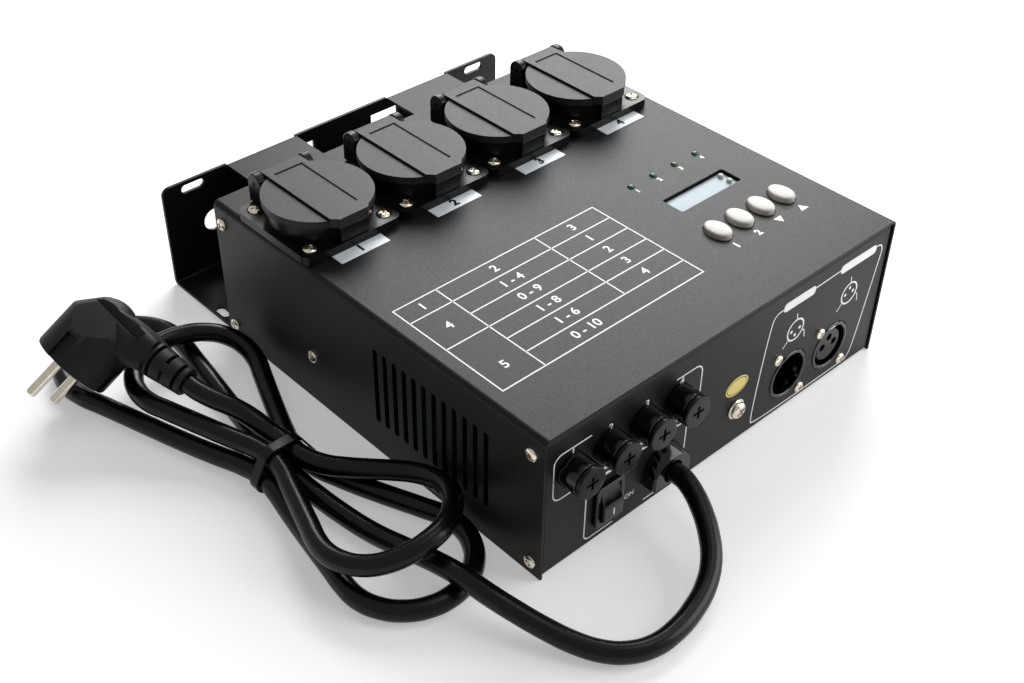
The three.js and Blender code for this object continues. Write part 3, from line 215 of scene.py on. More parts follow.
# %% Cable sheath and plug body
waves = patches(16.0, 0.0)
cable_sheath = finish("extruded_soft_pvc", (even_patches(16.0, 0.0), "#080808", "#0d0d0e"),
                      (patches(3.0, 1.0), 0.24, 0.30), bump=(waves, 0.15, 0.3), IOR=1.53,
                      Specular_IOR_Level=0.22)
skin = patches(0.7, 3.0)
plug_plastic = finish("matt_moulded_pvc", (even_patches(10.0), "#0f1010", "#161616"), (skin, 0.46, 0.60),
                      bump=(skin, 0.03, 0.4), IOR=1.52, Specular_IOR_Level=0.25)
print(cable_sheath.name, plug_plastic.name)

# %% [markdown]
# ## Finishes: metals
# Screws, plug pins and earth clips are plated with nickel, which is slightly warm and shows fine
# drawing marks. Metals keep the default IOR, because their colour says how they reflect.

# %% Nickel, steel and aluminium
nickel_plate = finish("nickel_plated_brass", (even_patches(2.5), "#d8cfbf", "#ece5d8"),
                      (patches(0.6), 0.08, 0.15), Metallic=1.0)
marks = patches(0.25, 3.0)
drawn_steel = finish("drawn_spring_steel", (marks, "#7f7e7a", "#a09f9b"), (marks, 0.25, 0.42), Metallic=1.0)
lines = drawn_lines((40, 40, 3000), 2.0)
extruded_aluminium = finish("extruded_aluminium", (lines, "#a9abae", "#c6c8ca"), (lines, 0.3, 0.5),
                            Metallic=1.0)
print(nickel_plate.name, drawn_steel.name, extruded_aluminium.name)

# %% [markdown]
# ## Finishes: lamps, window and what is inside
# The lamps are green-tinted epoxy, cast in a cup. The display sits behind a pale polycarbonate
# window. Inside are glass-fibre board with green solder mask, a varnished transformer and glass fuses.

# %% Lamps, window and inner pieces
green_epoxy = finish("green_cast_epoxy", (even_patches(1.0), "#0d5234", "#176b45"), 0.18, IOR=1.55,
                     Transmission_Weight=0.2)
window_sheet = finish("tinted_polycarbonate", (even_patches(14.0), "#a2b2b9", "#aebdc3"),
                      (patches(0.8), 0.34, 0.42), IOR=1.58, Specular_IOR_Level=0.2)
weave = patches(0.6)
solder_mask = finish("solder_mask_on_fibre_board", (weave, "#17482b", "#20603a"), (weave, 0.35, 0.5), IOR=1.5)
varnished_iron = finish("varnished_iron_and_copper", (iron_plates, "#4b2a1c", "#7a4630"),
                        (patches(1.5), 0.35, 0.55), IOR=1.5)
fuse_glass = finish("drawn_glass_tube", (patches(3.0), "#dfe6e8", "#eef2f2"), 0.04, IOR=1.5,
                    Transmission_Weight=0.9)
print(green_epoxy.name, window_sheet.name, solder_mask.name, varnished_iron.name, fuse_glass.name)

# %% [markdown]
# The marks are white epoxy ink, the channel labels are a printed film under a clear laminate, and
# the oval seal is a thin metallised foil, brushed along its length.

# %% Ink, label film and foil
screen_ink = finish("screen_printed_epoxy_ink", (even_patches(1.2, 3.0), "#f2f3f1", "#fdfdfb"),
                    (patches(0.4), 0.45, 0.6), IOR=1.5)
label_film = finish("laminated_label_film", (even_patches(8.0), "#eaf2f7", "#f4f9fc"),
                    (patches(0.7), 0.3, 0.42), IOR=1.5)
lines = drawn_lines((300, 3000, 3000), 1.0)
gold_foil = finish("brushed_gold_foil", (lines, "#d6c26a", "#ecdb8c"), (lines, 0.35, 0.5), IOR=1.5,
                   Metallic=0.35)
print("finishes", len(bpy.data.materials))

# %% [markdown]
# ## Shapes from a few strokes
# Most pieces here are turned, cut from a section or punched. So the toolkit is small: a turned
# profile, a section drawn out between two heights, a rounded outline, and a cut. Each returns
# corners and faces in millimetres; one function turns them into an object in metres.

# %% Turned and drawn-out shapes
def turned(profile, steps=64):
    """Turns pairs of radius and height about Z. A zero radius closes the shape."""
    corners, rings, faces = [], [], []
    for radius, height in profile:
        count = 1 if radius == 0 else steps
        rings.append(range(len(corners), len(corners) + count))
        corners += [(radius * cos(2 * pi * i / steps), radius * sin(2 * pi * i / steps), height)
                    for i in range(count)]
    for low, high in zip(rings, rings[1:]):
        for i in range(steps):
            j = (i + 1) % steps
            loop = [low[i % len(low)], low[j % len(low)], high[j % len(high)], high[i % len(high)]]
            faces.append(list(dict.fromkeys(loop)))
    return corners, faces


def cylinder(radius, low, high, steps=64):
    return turned([(0, low), (radius, low), (radius, high), (0, high)], steps)


def lofted(rings):
    """Skins a stack of rings with the same number of corners and closes both ends."""
    count, corners = len(rings[0]), [corner for ring in rings for corner in ring]
    faces = [[first + i, first + (i + 1) % count, first + count + (i + 1) % count, first + count + i]
             for first in range(0, len(corners) - count, count) for i in range(count)]
    return corners, [*faces, list(range(count))[::-1], list(range(len(corners) - count, len(corners)))]


def drawn_out(outline, low, high):
    count = len(outline)
    corners = [(x, y, z) for z in (low, high) for x, y in outline]
    sides = [[i, (i + 1) % count, count + (i + 1) % count, count + i] for i in range(count)]
    return corners, [list(range(count))[::-1], list(range(count, 2 * count)), *sides]


def arc(cx, cy, radius, first, last, steps=8):
    """Points of an arc between two angles in degrees."""
    angles = [radians(first + (last - first) * i / steps) for i in range(steps + 1)]
    return [(cx + radius * cos(angle), cy + radius * sin(angle)) for angle in angles]


def rounded(width, height, radius, steps=6):
    x, y = width / 2 - radius, height / 2 - radius
    return [spot for cx, cy, first in ((x, y, 0), (-x, y, 90), (-x, -y, 180), (x, -y, 270))
            for spot in arc(cx, cy, radius, first, first + 90, steps)]


def oval(half_width, half_height, steps=40):
    angles = [2 * pi * i / steps for i in range(steps)]
    return [(half_width * cos(angle), half_height * sin(angle)) for angle in angles]


def moved(shape, x=0.0, y=0.0, z=0.0, matrix=None):
    matrix = matrix or Matrix.Translation((x, y, z))
    return [tuple(matrix @ Vector(corner)) for corner in shape[0]], shape[1]


def box_shape(x0, x1, y0, y1, z0, z1):
    return drawn_out([(x0, y0), (x1, y0), (x1, y1), (x0, y1)], z0, z1)


along_x = Matrix(((0, 0, 1, 0), (1, 0, 0, 0), (0, 1, 0, 0), (0, 0, 0, 1)))
along_y = Matrix(((1, 0, 0, 0), (0, 0, -1, 0), (0, 1, 0, 0), (0, 0, 0, 1)))


def bar_along_x(radius, x0, x1, y=0.0, z=0.0, steps=40):
    return moved(moved(cylinder(radius, x0, x1, steps), matrix=along_x), 0, y, z)

# %% [markdown]
# ## From shapes to pieces
# A piece joins its shapes into one mesh, then holes are cut, then a narrow bevel runs along every
# sharp edge. No real edge is perfectly sharp, and the thin line of light on a bevel tells the eye
# how an edge was made: tight on punched steel, softer on moulded plastic.

# %% Making a piece
def mesh_of(name, shapes):
    mesh = bpy.data.meshes.new(name)
    build = bmesh.new()
    for corners, faces in shapes:
        made = [build.verts.new(Vector(corner) * mm) for corner in corners]
        for face in faces:
            build.faces.new([made[i] for i in face])
    bmesh.ops.recalc_face_normals(build, faces=build.faces)
    build.to_mesh(mesh)
    build.free()
    return mesh


def cut_mesh(mesh, holes):
    """The mesh with the holes' shapes taken out of it."""
    body = bpy.data.objects.new("body", mesh)
    tool = bpy.data.objects.new("tool", mesh_of("tool", holes))
    for obj in (body, tool):
        bpy.context.scene.collection.objects.link(obj)
    step = body.modifiers.new("cut", "BOOLEAN")
    step.operation, step.solver, step.object = "DIFFERENCE", "EXACT", tool
    step.use_self = True
    bpy.context.view_layer.update()
    done = bpy.data.meshes.new_from_object(body.evaluated_get(bpy.context.evaluated_depsgraph_get()))
    for obj in (body, tool):
        bpy.data.objects.remove(obj)
    return done


def show(name, mesh, place, material, body="pack", stands_for=(), edge=0.0, edge_steps=2):
    """Puts a mesh in its place as a finished piece that rides on a body of the model."""
    mesh.shade_smooth()
    mesh.set_sharp_from_angle(angle=radians(32))
    mesh.materials.clear()
    mesh.materials.append(material)
    obj = bpy.data.objects.new(name, mesh)
    bpy.context.scene.collection.objects.link(obj)
    obj.matrix_world = place
    if edge:
        bevel = obj.modifiers.new("edges", "BEVEL")
        bevel.width, bevel.segments, bevel.limit_method = edge * mm, edge_steps, "ANGLE"
        bevel.angle_limit = radians(35)
        bevel.use_clamp_overlap = True
    flats = obj.modifiers.new("flat_faces", "WEIGHTED_NORMAL")
    flats.mode, flats.weight, flats.keep_sharp = "FACE_AREA", 100, True
    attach(obj, body)
    if stands_for:
        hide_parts(*stands_for)
    return obj


def on_top(x, y, z=case_height):
    return case_frame @ Matrix.Translation((x * mm, y * mm, z * mm))


front_setback = 0.8


def on_front(x, z, out=0.0):
    """Places a piece on the front panel: its Z points out of the panel and its Y up."""
    return (case_frame @ Matrix.Translation((x * mm, (front_setback - out) * mm, z * mm))
            @ Matrix.Rotation(pi / 2, 4, "X"))


def on_side(y, z, hand):
    """Places a piece on the left (-1) or right (1) side of the case."""
    across = 0.0 if hand < 0 else case_width
    return (case_frame @ Matrix.Translation((across * mm, y * mm, z * mm))
            @ Matrix(((0, 0, hand, 0), (hand, 0, 0, 0), (0, 1, 0, 0), (0, 0, 0, 1))))

print("toolkit ready")

# %% [markdown]
# ## The lead and its hank
# A mains lead has one length of sheath from the bushing to the plug. Here it leaves the front,
# turns along the floor and is folded into a hank of four bights, tied at the waist. The route is
# a given list for the loose stretch and a formula for the bights: an arc out of the waist, a
# straight, and a nose of constant radius, lifted where a strand rides over another.

# %% Route of the lead
cord_radius = 4.25
cord_pitch = 9.1
cord_floor = cord_radius + 0.06
waist_x, waist_y, waist_radius, waist_lift = -38.3, 109.0, 34.0, 0.2
row_rise = sqrt(3) / 2
bushing_face = Vector((66.5, -5.6, 18.0))
lead_points = [
    (65.7, -14.5, 17.2), (61.8, -24.2, 14.8), (56, -33.4, 12), (49, -41, 9.3), (39.8, -46.8, 7),
    (29, -50.4, 5.4), (17.6, -52.2, 4.6), (6.5, -51.6, 4.4), (-2.4, -47.6, 4.4), (-8.8, -41.2, 4.5),
    (-13.9, -32.3, 5.2), (-18.5, -21.3, 7.2), (-22.5, -10.4, 9.9), (-25.9, 0.3, 12.6), (-28, 12, 13.9),
    (-29.6, 26, 12), (-31.4, 42, 8), (-33.6, 58, 5), (-35.8, 74, 4.6), (-37.6, 90, 5.4),
]
tail_points = [(-34.4, 121, 14.2), (-38.6, 134, 19)]
slots = {
    "left": (-1.0, waist_lift), "middle": (0.0, waist_lift), "right": (1.0, waist_lift),
    "upper_left": (-0.5, waist_lift + row_rise), "upper_right": (0.5, waist_lift + row_rise),
}
bights = [
    ("left", 1, 1, 129, 26.5, -11.7, (0, 0, 0, 0, 0, 0, 0)),
    ("right", -1, -1, 95, 26, 6.3, (0, 0, 0, 0, 0, 0, 0)),
    ("upper_left", 1, 1, 93, 26.5, 3.6, (0, 0.25, 0.9, 1.03, 1.03, 1.03, 1.03)),
    ("upper_right", -1, -1, 82, 26.5, 6.8, (1.03, 1.08, 1.4, 2.05, 1.9, 1.2, 1.05)),
]
strand_steps = 12
print("loose points", len(lead_points), "bights", len(bights))

# %% Bights of the hank
def strand(start, turn_way, reach, radius, centre):
    """One strand in plan, from its slot at the waist to the middle of the bight's nose."""
    nose = reach - radius
    aside = waist_radius - turn_way * (centre - start)
    lean = asin((waist_radius + radius) / hypot(nose, aside)) - atan2(aside, nose)
    straight = (nose - (waist_radius + radius) * sin(lean)) / cos(lean)
    first = waist_radius * lean
    whole = first + straight + radius * (pi / 2 + lean)
    plan = []
    for i in range(strand_steps + 1):
        along = whole * i / strand_steps
        if along < first:
            angle = along / waist_radius
            plan.append((start + turn_way * waist_radius * (1 - cos(angle)), waist_radius * sin(angle)))
        elif along < first + straight:
            rest = along - first
            plan.append((start + turn_way * (waist_radius * (1 - cos(lean)) + rest * sin(lean)),
                         waist_radius * sin(lean) + rest * cos(lean)))
        else:
            heading = lean - (along - first - straight) / radius
            plan.append((centre + turn_way * radius * cos(heading), nose - radius * sin(heading)))
    return plan


def between(values, share):
    """A smooth curve through evenly spaced values."""
    count = len(values) - 1
    spot = min(share * count, count - 1e-9)
    k = int(spot)
    t = spot - k
    a, b, c, d = values[max(k - 1, 0)], values[k], values[k + 1], values[min(k + 2, count)]
    v0, v1 = (c - a) / 2, (d - b) / 2
    return (2 * b - 2 * c + v0 + v1) * t ** 3 + (3 * c - 3 * b - 2 * v0 - v1) * t ** 2 + v0 * t + b


stops = ["middle"] + [bight[0] for bight in bights]
lifts = []
for i, bight in enumerate(bights):
    lifts += [slots[stops[i]][1], *bight[6]]
lifts.append(slots[stops[-1]][1])
hank_points = []
for i, (to, side, turn_way, reach, radius, centre, _) in enumerate(bights):
    out = strand(slots[stops[i]][0] * cord_pitch, turn_way, reach, radius, centre)
    home = strand(slots[to][0] * cord_pitch, -turn_way, reach, radius, centre)[::-1]
    plan = out + home[1:]
    for k, (x, y) in enumerate(plan):
        if i and k == 0:
            continue
        share = (i + k / (2 * strand_steps)) / len(bights)
        hank_points.append((waist_x + x, waist_y + side * y, cord_floor + cord_pitch * between(lifts, share)))
print("hank points", len(hank_points))

# %% [markdown]
# The plug's own axes place everything on it: its pins point one way and its lead leaves another.
# The lead is a Bezier curve with automatic handles, which bends smoothly through every point.

# %% The lead as one curve
plug_face = Vector((-78.0, 201.9, 23.3))
pins_point = Vector((-0.823, 0.095, -0.560)).normalized()
lead_leaves = Vector((0.112, -0.939, -0.324))
plug_across = lead_leaves.cross(pins_point).normalized()
plug_away = pins_point.cross(plug_across).normalized()
plug_axis_depth, plug_reach, neck_lean = 23.2, 44.3, radians(8)
sleeve_out = plug_away * cos(neck_lean) - pins_point * sin(neck_lean)
sleeve_end = plug_face - pins_point * plug_axis_depth + sleeve_out * plug_reach
turned_axes = Matrix((plug_across, plug_away, pins_point)).transposed().to_4x4()
plug_place = case_frame @ Matrix.Translation(plug_face * mm) @ turned_axes
waist_end = Vector((waist_x + slots["upper_right"][0] * cord_pitch, waist_y,
                    cord_floor + slots["upper_right"][1] * cord_pitch))

route = [bushing_face + Vector((0, 7, 0)), bushing_face, bushing_face + Vector((0, -4.2, 0)),
         *map(Vector, lead_points),
         Vector((waist_x, waist_y - 8.5, cord_floor + waist_lift * cord_pitch)),
         *map(Vector, hank_points), waist_end + Vector((0, 6, 0.2)), *map(Vector, tail_points),
         sleeve_end + sleeve_out * 6.0, sleeve_end, sleeve_end - sleeve_out * 6.0]

lead_curve = bpy.data.curves.new("mains_lead", "CURVE")
lead_curve.dimensions = "3D"
lead_curve.bevel_depth = cord_radius * mm
lead_curve.bevel_resolution = 7
lead_curve.resolution_u = 6
lead_curve.use_fill_caps = True
spline = lead_curve.splines.new("BEZIER")
spline.bezier_points.add(len(route) - 1)
for spot, point in zip(spline.bezier_points, route):
    spot.co = case_frame @ (point * mm)
    spot.handle_left_type = spot.handle_right_type = "AUTO"
lead_curve.materials.append(cable_sheath)
lead = bpy.data.objects.new("mains_lead", lead_curve)
bpy.context.scene.collection.objects.link(lead)
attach(lead, "pack")
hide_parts("cord_lead", "cord_hank", "cord_tail")

# %% [markdown]
# ## The case: one bent section for the cover
# The cover is a strip of 1.2 mm sheet folded twice on a press brake. The sheet stretches round the
# punch, so each fold has an outer radius of about twice the thickness. The section is drawn as one
# outline and pulled through the depth, then the outlet holes, panel openings and vents are punched.

# %% Top cover
bend_radius = 2.6


def folded_section(width, low, high, thick, radius, steps=8):
    """A cap section: up the left side, over the top and down the right side, as one outline."""
    outer, inner = (
        [(left, low), *arc(radius, high - radius, bend, 180, 90, steps),
         *arc(width - radius, high - radius, bend, 90, 0, steps), (width - left, low)]
        for left, bend in ((0, radius), (thick, radius - thick)))
    return outer + inner[::-1]


def socket_x(i):
    return 25.25 + 50.15 * i


def button_x(i):
    return 143.1 + 13.97 * i


def lamp_x(i):
    return 141.4 + 13.97 * i


socket_y, button_y, lamp_y = 162.0, 44.8, 92.7
window_x, window_y, window_width, window_depth = 162.9, 70.5, 38.7, 11.6
vent_count, vent_first, vent_pitch, vent_width, vent_low, vent_high = 12, 30.5, 5.88, 2.7, 17.0, 54.5
socket_hole, button_hole, lamp_hole = 21.8, (5.1, 7.0), 1.6
above, below = case_height + 3, case_height - 3

cover = moved(drawn_out(folded_section(case_width, 0.3, case_height, sheet, bend_radius), 0, case_depth),
              matrix=along_y)
cover = ([(x, -y, z) for x, y, z in cover[0]], cover[1])
punched = []
for hole, place_x, y in ((cylinder(socket_hole, below, above, 72), socket_x, socket_y),
                         (drawn_out(oval(*button_hole), below, above), button_x, button_y),
                         (cylinder(lamp_hole, below, above, 24), lamp_x, lamp_y)):
    punched += [moved(hole, place_x(i), y) for i in range(4)]
punched.append(moved(drawn_out(rounded(window_width, window_depth, 1.0), below, above), window_x, window_y))
vent_outline = rounded(vent_width, vent_high - vent_low, vent_width / 2 - 0.01)
vent = moved(drawn_out(vent_outline, 0, 5), matrix=along_x)
punched += [moved(vent, x, vent_first + vent_pitch * i, (vent_low + vent_high) / 2)
            for i in range(vent_count) for x in (-2, case_width - 3)]
top_cover = show("folded_top_cover", cut_mesh(mesh_of("cover", [cover]), punched), case_frame, powder_coat,
                 stands_for=["top_cover"], edge=0.18)
print("cover faces", len(top_cover.data.polygons))

# %% [markdown]
# The front panel is part of the chassis: a flat sheet with a fold along the bottom, and short
# flanges at the top and the sides that the cover is screwed to. Openings are punched in it for the
# fuses, the switch, the strain relief and the connectors.

# %% Chassis with the front panel
chassis_left, chassis_right, chassis_top = 2.0, 205.0, 68.9
fuse_height = 49.0


def fuse_x(i):
    return 14.5 + 18.93 * i


switch_x, switch_z = 35.5, 18.9
bushing_x, bushing_z = 66.5, 18.0
earth_x, earth_z = 110.6, 20.6
connector_x, connector_z = (145.1, 173.9), 19.6

back_y, flange_y = 190.0, 9.8
fold_y, inner_radius = front_setback + bend_radius, bend_radius - sheet


def front_folds(radius):
    """The lower and the upper fold of the panel, from the floor up."""
    return [*arc(fold_y, bend_radius, radius, 270, 180),
            *arc(fold_y, chassis_top - bend_radius, radius, 180, 90)]


outline = [(back_y, 0), *front_folds(bend_radius), (flange_y, chassis_top), (flange_y, chassis_top - sheet),
           *front_folds(inner_radius)[::-1], (back_y, sheet)]
panel = moved(drawn_out(outline, chassis_left, chassis_right), matrix=along_x)
flanges = [box_shape(x, x + sheet, 12, 192, 0.1, 11) for x in (chassis_left, chassis_right - sheet)]
fuse_hole, switch_hole, bushing_hole, connector_hole = 6.3, (13.6, 19.0), 5.3, 11.9
openings = [(oval(fuse_hole, fuse_hole), fuse_x(i), fuse_height) for i in range(4)]
openings += [(rounded(*switch_hole, 0.6), switch_x, switch_z),
             (oval(bushing_hole, bushing_hole), bushing_x, bushing_z)]
openings += [(oval(connector_hole, connector_hole, 56), x, connector_z) for x in connector_x]
front_holes = [moved(moved(drawn_out(shape, -6, 2), matrix=along_y), x, front_setback, z)
               for shape, x, z in openings]
chassis = show("folded_chassis", cut_mesh(mesh_of("chassis", [panel]), front_holes), case_frame, powder_coat,
               stands_for=["base_chassis"], edge=0.3)
show("chassis_side_flanges", mesh_of("flanges", flanges), case_frame, powder_coat, edge=0.2)
print("chassis faces", len(chassis.data.polygons))

# %% [markdown]
# ## Screws
# The case is held with pan-head screws with a cross recess. The recess is what makes them read as
# screws, so each head is a turned dome with a tapered cross cut into it. Each size is made once and copied.

# %% Screw heads
def screw_mesh(name, radius, rise, arm, arm_width, depth, flat_share=0.45):
    head = turned([(0, -0.4), (radius, -0.4), (radius, rise * 0.25), (radius * 0.93, rise * 0.62),
                   (radius * 0.75, rise * 0.88), (radius * flat_share, rise), (0, rise)], 40)
    cross = []
    for matrix in (Matrix.Identity(4), Matrix.Rotation(pi / 2, 4, "Z")):
        corners, faces = box_shape(-arm, arm, -arm_width, arm_width, rise - depth, rise + 1)
        tapered = [(x * (0.55 if z < rise else 1.0), y, z) for x, y, z in corners]
        cross.append(moved((tapered, faces), matrix=matrix))
    return cut_mesh(mesh_of(name, [head]), cross)


case_screw = screw_mesh("case_screw", 2.9, 1.6, 1.8, 0.5, 1.2)
small_screw = screw_mesh("connector_screw", 2.6, 1.5, 1.6, 0.45, 1.1)
socket_screw = screw_mesh("socket_screw", 3.1, 1.5, 2.0, 0.55, 1.2)
socket_screw_spread, flange_rise = 19.0, 4.0
flange_top = case_height + flange_rise
screws = [("side", case_screw, on_side(y, z, hand), 0.5)
          for y, z in ((6.2, 61.2), (5.3, 7.1), (138.2, 25.0), (198.5, 61.2), (198.5, 7.1))
          for hand in (-1, 1)]
screws += [("connector", small_screw, on_front(x, z), 0.7)
           for x, z in ((135.6, 32.3), (154.6, 7.3), (164.1, 31.4), (183.7, 7.4))]
screws += [("socket", socket_screw, on_top(socket_x(i) + x, socket_y + y, flange_top - 0.5), 0.6)
           for i in range(4) for x in (-socket_screw_spread, socket_screw_spread)
           for y in (-socket_screw_spread, socket_screw_spread)]
for k, (kind, mesh, place, angle) in enumerate(screws):
    show(f"{kind}_screw_{k}", mesh.copy(), place @ Matrix.Rotation(angle * k, 4, "Z"), nickel_plate)
print("screws", len(screws))

# %% [markdown]
# ## The outlets
# Each outlet is a safety-contact socket: a square flange, a round collar and a deep round well
# whose floor has two holes for the pins. Keys stand on two sides of the well and spring earth clips
# on the other two. Behind it two ears carry the pin of a sprung lid.

# %% Socket housing
half_flange, collar_radius, well_radius, body_radius = 24.9, 22.5, 19.7, 21.3
collar_rise, well_floor, body_low, pin_spread = 11.1, -6.4, -23.4, 9.5
ear_in, ear_out, ear_y, ear_height, ear_radius = 10.6, 14.2, 25.6, 11.5, 4.6
pin_radius, barrel_radius, ear_room_radius = 1.0, 4.3, 4.9

flange = drawn_out(rounded(2 * half_flange, 2 * half_flange, 4.5, 8), 0.3, flange_rise)
collar = turned([(0, body_low), (body_radius - 1, body_low), (body_radius, body_low + 1), (body_radius, 2.0),
                 (collar_radius, 2.0), (collar_radius, collar_rise - 0.8),
                 (collar_radius - 0.25, collar_rise - 0.25), (collar_radius - 0.8, collar_rise),
                 (0, collar_rise)], 96)
well = turned([(0, well_floor), (well_radius - 0.6, well_floor), (well_radius, well_floor + 0.6),
               (well_radius, collar_rise - 0.5), (well_radius + 0.5, collar_rise + 0.05),
               (well_radius + 0.5, 30), (0, 30)], 96)
pin_holes = [moved(turned([(0, -22), (2.7, -22), (2.7, well_floor - 0.9), (3.4, well_floor + 0.1), (3.4, -5),
                           (0, -5)], 32), x) for x in (-pin_spread, pin_spread)]
screw_seats = [moved(cylinder(3.5, flange_rise - 0.5, 9, 32), x, y)
               for x in (-socket_screw_spread, socket_screw_spread)
               for y in (-socket_screw_spread, socket_screw_spread)]
barrel_room = [bar_along_x(ear_room_radius, -ear_in, ear_in, ear_y, ear_height)]
housing_mesh = cut_mesh(mesh_of("housing", [flange, collar]), [well, *pin_holes, *screw_seats, *barrel_room])


def ear_outline(radius, steps=20):
    """Round over the pin, straight down to the flange."""
    foot = flange_rise - 2.5
    return [(ear_y + radius, foot), *arc(ear_y, ear_height, radius, 0, 180, steps), (ear_y - radius, foot)]


ear_mesh = mesh_of("ears", [moved(drawn_out(ear_outline(ear_radius), low, high), matrix=along_x)
                            for low, high in ((ear_in, ear_out), (-ear_out, -ear_in))])
key_mesh = mesh_of("keys", [box_shape(x - 1.5, x + 1.5, -2.5, 2.5, well_floor - 0.5, 9.6)
                            for x in (-19.0, 19.0)])
print("housing faces", len(housing_mesh.polygons))

# %% [markdown]
# The earth clips are strips of spring brass that bow into the well and bear on the plug's sides.
# Only their ends show past the lid: a small bright spot at the front of each collar.

# %% Earth clips and lid stop
def clip_shape(hand):
    """A strip that comes up the well, bows inwards and hooks over the collar's edge."""
    line = [(19.2, -6.2), (18.9, -3), (17.6, 1.5), (17.2, 5), (18.0, 8.5), (19.5, 10.6), (20.6, 11.5),
            (21.6, 11.3), (22.3, 10.4)]
    outer, inner = [], []
    for i, (y, z) in enumerate(line):
        y0, z0 = line[max(i - 1, 0)]
        y1, z1 = line[min(i + 1, len(line) - 1)]
        length = hypot(y1 - y0, z1 - z0)
        across_y, across_z = -(z1 - z0) / length, (y1 - y0) / length
        outer.append((hand * (y + 0.3 * across_y), z + 0.3 * across_z))
        inner.append((hand * (y - 0.3 * across_y), z - 0.3 * across_z))
    return moved(drawn_out(outer + inner[::-1], -2.2, 2.2), matrix=along_x)


clip_mesh = mesh_of("clips", [clip_shape(-1), clip_shape(1)])
stop_mesh = mesh_of("lid_stop", [box_shape(-7, 7, -24.2, -21.1, 2.5, collar_rise)])
print("clip faces", len(clip_mesh.polygons))

# %% [markdown]
# ## The lids
# A lid is a round disc with a raised strap across it. The strap carries a shallow recessed field,
# ends in two chamfered corners at the front and in two hinge barrels at the back.

# %% Lid mesh
lid_radius, lid_low, lid_high, strap_half, strap_high = 23.6, 11.5, 14.7, 10.0, 15.8
strap_front, field_half, field_front, field_back, field_depth = -24.7, 7.1, -18.0, 20.6, 0.5

disc = cylinder(lid_radius, lid_low, lid_high, 96)
strap_outline = [(-strap_half, ear_y), (-strap_half, strap_front + 3), (-strap_half + 3, strap_front),
                 (strap_half - 3, strap_front), (strap_half, strap_front + 3), (strap_half, ear_y)]
strap = drawn_out(strap_outline, lid_low, strap_high)
barrel = bar_along_x(barrel_radius, -strap_half, strap_half, ear_y, ear_height)
room_radius, room_half = 3.3, 3.35
spring_room = bar_along_x(room_radius, -room_half, room_half, ear_y, ear_height)
spring_mouth = box_shape(-room_half, room_half, ear_y - room_radius, ear_y + room_radius, 4, ear_height)
pin_room = bar_along_x(1.25, -12, 12, ear_y, ear_height, 24)
field = box_shape(-field_half, field_half, field_front, field_back, strap_high - field_depth, 20)
grooves = [box_shape(x - 0.35, x + 0.35, strap_front + 3, ear_y - 7, lid_high - 0.7, lid_high + 0.02)
           for x in (-strap_half - 0.3, strap_half + 0.3)]
ear_room = [bar_along_x(ear_room_radius, low, low + 4.4, ear_y, ear_height) for low in (-14.5, 10.1)]
lid_solid = cut_mesh(mesh_of("lid", [disc, strap, barrel]), grooves)
lid_mesh = cut_mesh(lid_solid, [field, spring_room, spring_mouth, pin_room, *ear_room])
print("lid faces", len(lid_mesh.polygons))

# %% [markdown]
# The closing spring is one wire wound round the pin, so it is a helix with a true pitch. It is kept
# in the lid's pocket and seen from behind only.

# %% Place the outlets
def tube_shape(path, radius, sides=10):
    rings = []
    for i, point in enumerate(path):
        ahead = (Vector(path[min(i + 1, len(path) - 1)]) - Vector(path[max(i - 1, 0)])).normalized()
        side = ahead.cross(Vector((0.02, 0.03, 1) if abs(ahead.z) < 0.9 else (1, 0.03, 0.02))).normalized()
        up = side.cross(ahead)
        rings.append([tuple(Vector(point) + side * x + up * y) for x, y in oval(radius, radius, sides)])
    return lofted(rings)


spring_radius, wire_radius, spring_pitch, spring_turns = 2.2, 0.3, 1.1, 5
helix = []
for i in range(20 * spring_turns + 1):
    angle = 2 * pi * i / 20
    helix.append((spring_pitch * (i / 20 - spring_turns / 2), ear_y + spring_radius * cos(angle),
                  ear_height + spring_radius * sin(angle)))
spring_mesh = mesh_of("closing_spring", [tube_shape(helix, wire_radius, 8)])
pin_mesh = mesh_of("hinge_pin", [bar_along_x(pin_radius, -ear_out, ear_out, ear_y, ear_height, 24)])
outlet_pieces = (
    ("flange_and_well", housing_mesh, housing_plastic, "housing", 0.25, "black_plastic"),
    ("hinge_ears", ear_mesh, housing_plastic, None, 0.4, "black_plastic"),
    ("keys", key_mesh, housing_plastic, None, 0.3, "black_plastic"),
    ("lid_stop", stop_mesh, housing_plastic, None, 0.4, "black_plastic"),
    ("earth_clips", clip_mesh, nickel_plate, None, 0.0, None),
    ("strapped_lid", lid_mesh, lid_plastic, "lid", 0.3, "lid_plastic"),
    ("drawn_pin", pin_mesh, drawn_steel, "hinge_pin", 0.15, "steel_wire"),
    ("wound_spring", spring_mesh, drawn_steel, "spring", 0.0, "steel_wire"),
)
for i in range(4):
    for name, mesh, material, node_name, edge, slot in outlet_pieces:
        show(f"socket_{i + 1}_{name}", mesh.copy(), on_top(socket_x(i), socket_y), material,
             body=f"lid_{i + 1}" if node_name == "lid" else "pack",
             stands_for=[f"socket_{i + 1}_{node_name}"] if node_name else (), edge=edge)
print("outlets placed")

# %% [markdown]
# ## Buttons, lamps and display
# The buttons are oval caps on small tact switches: a flange below the sheet keeps them in, and a
# low dome stands out for the finger. The lamps are round-nosed and rise just past the sheet.

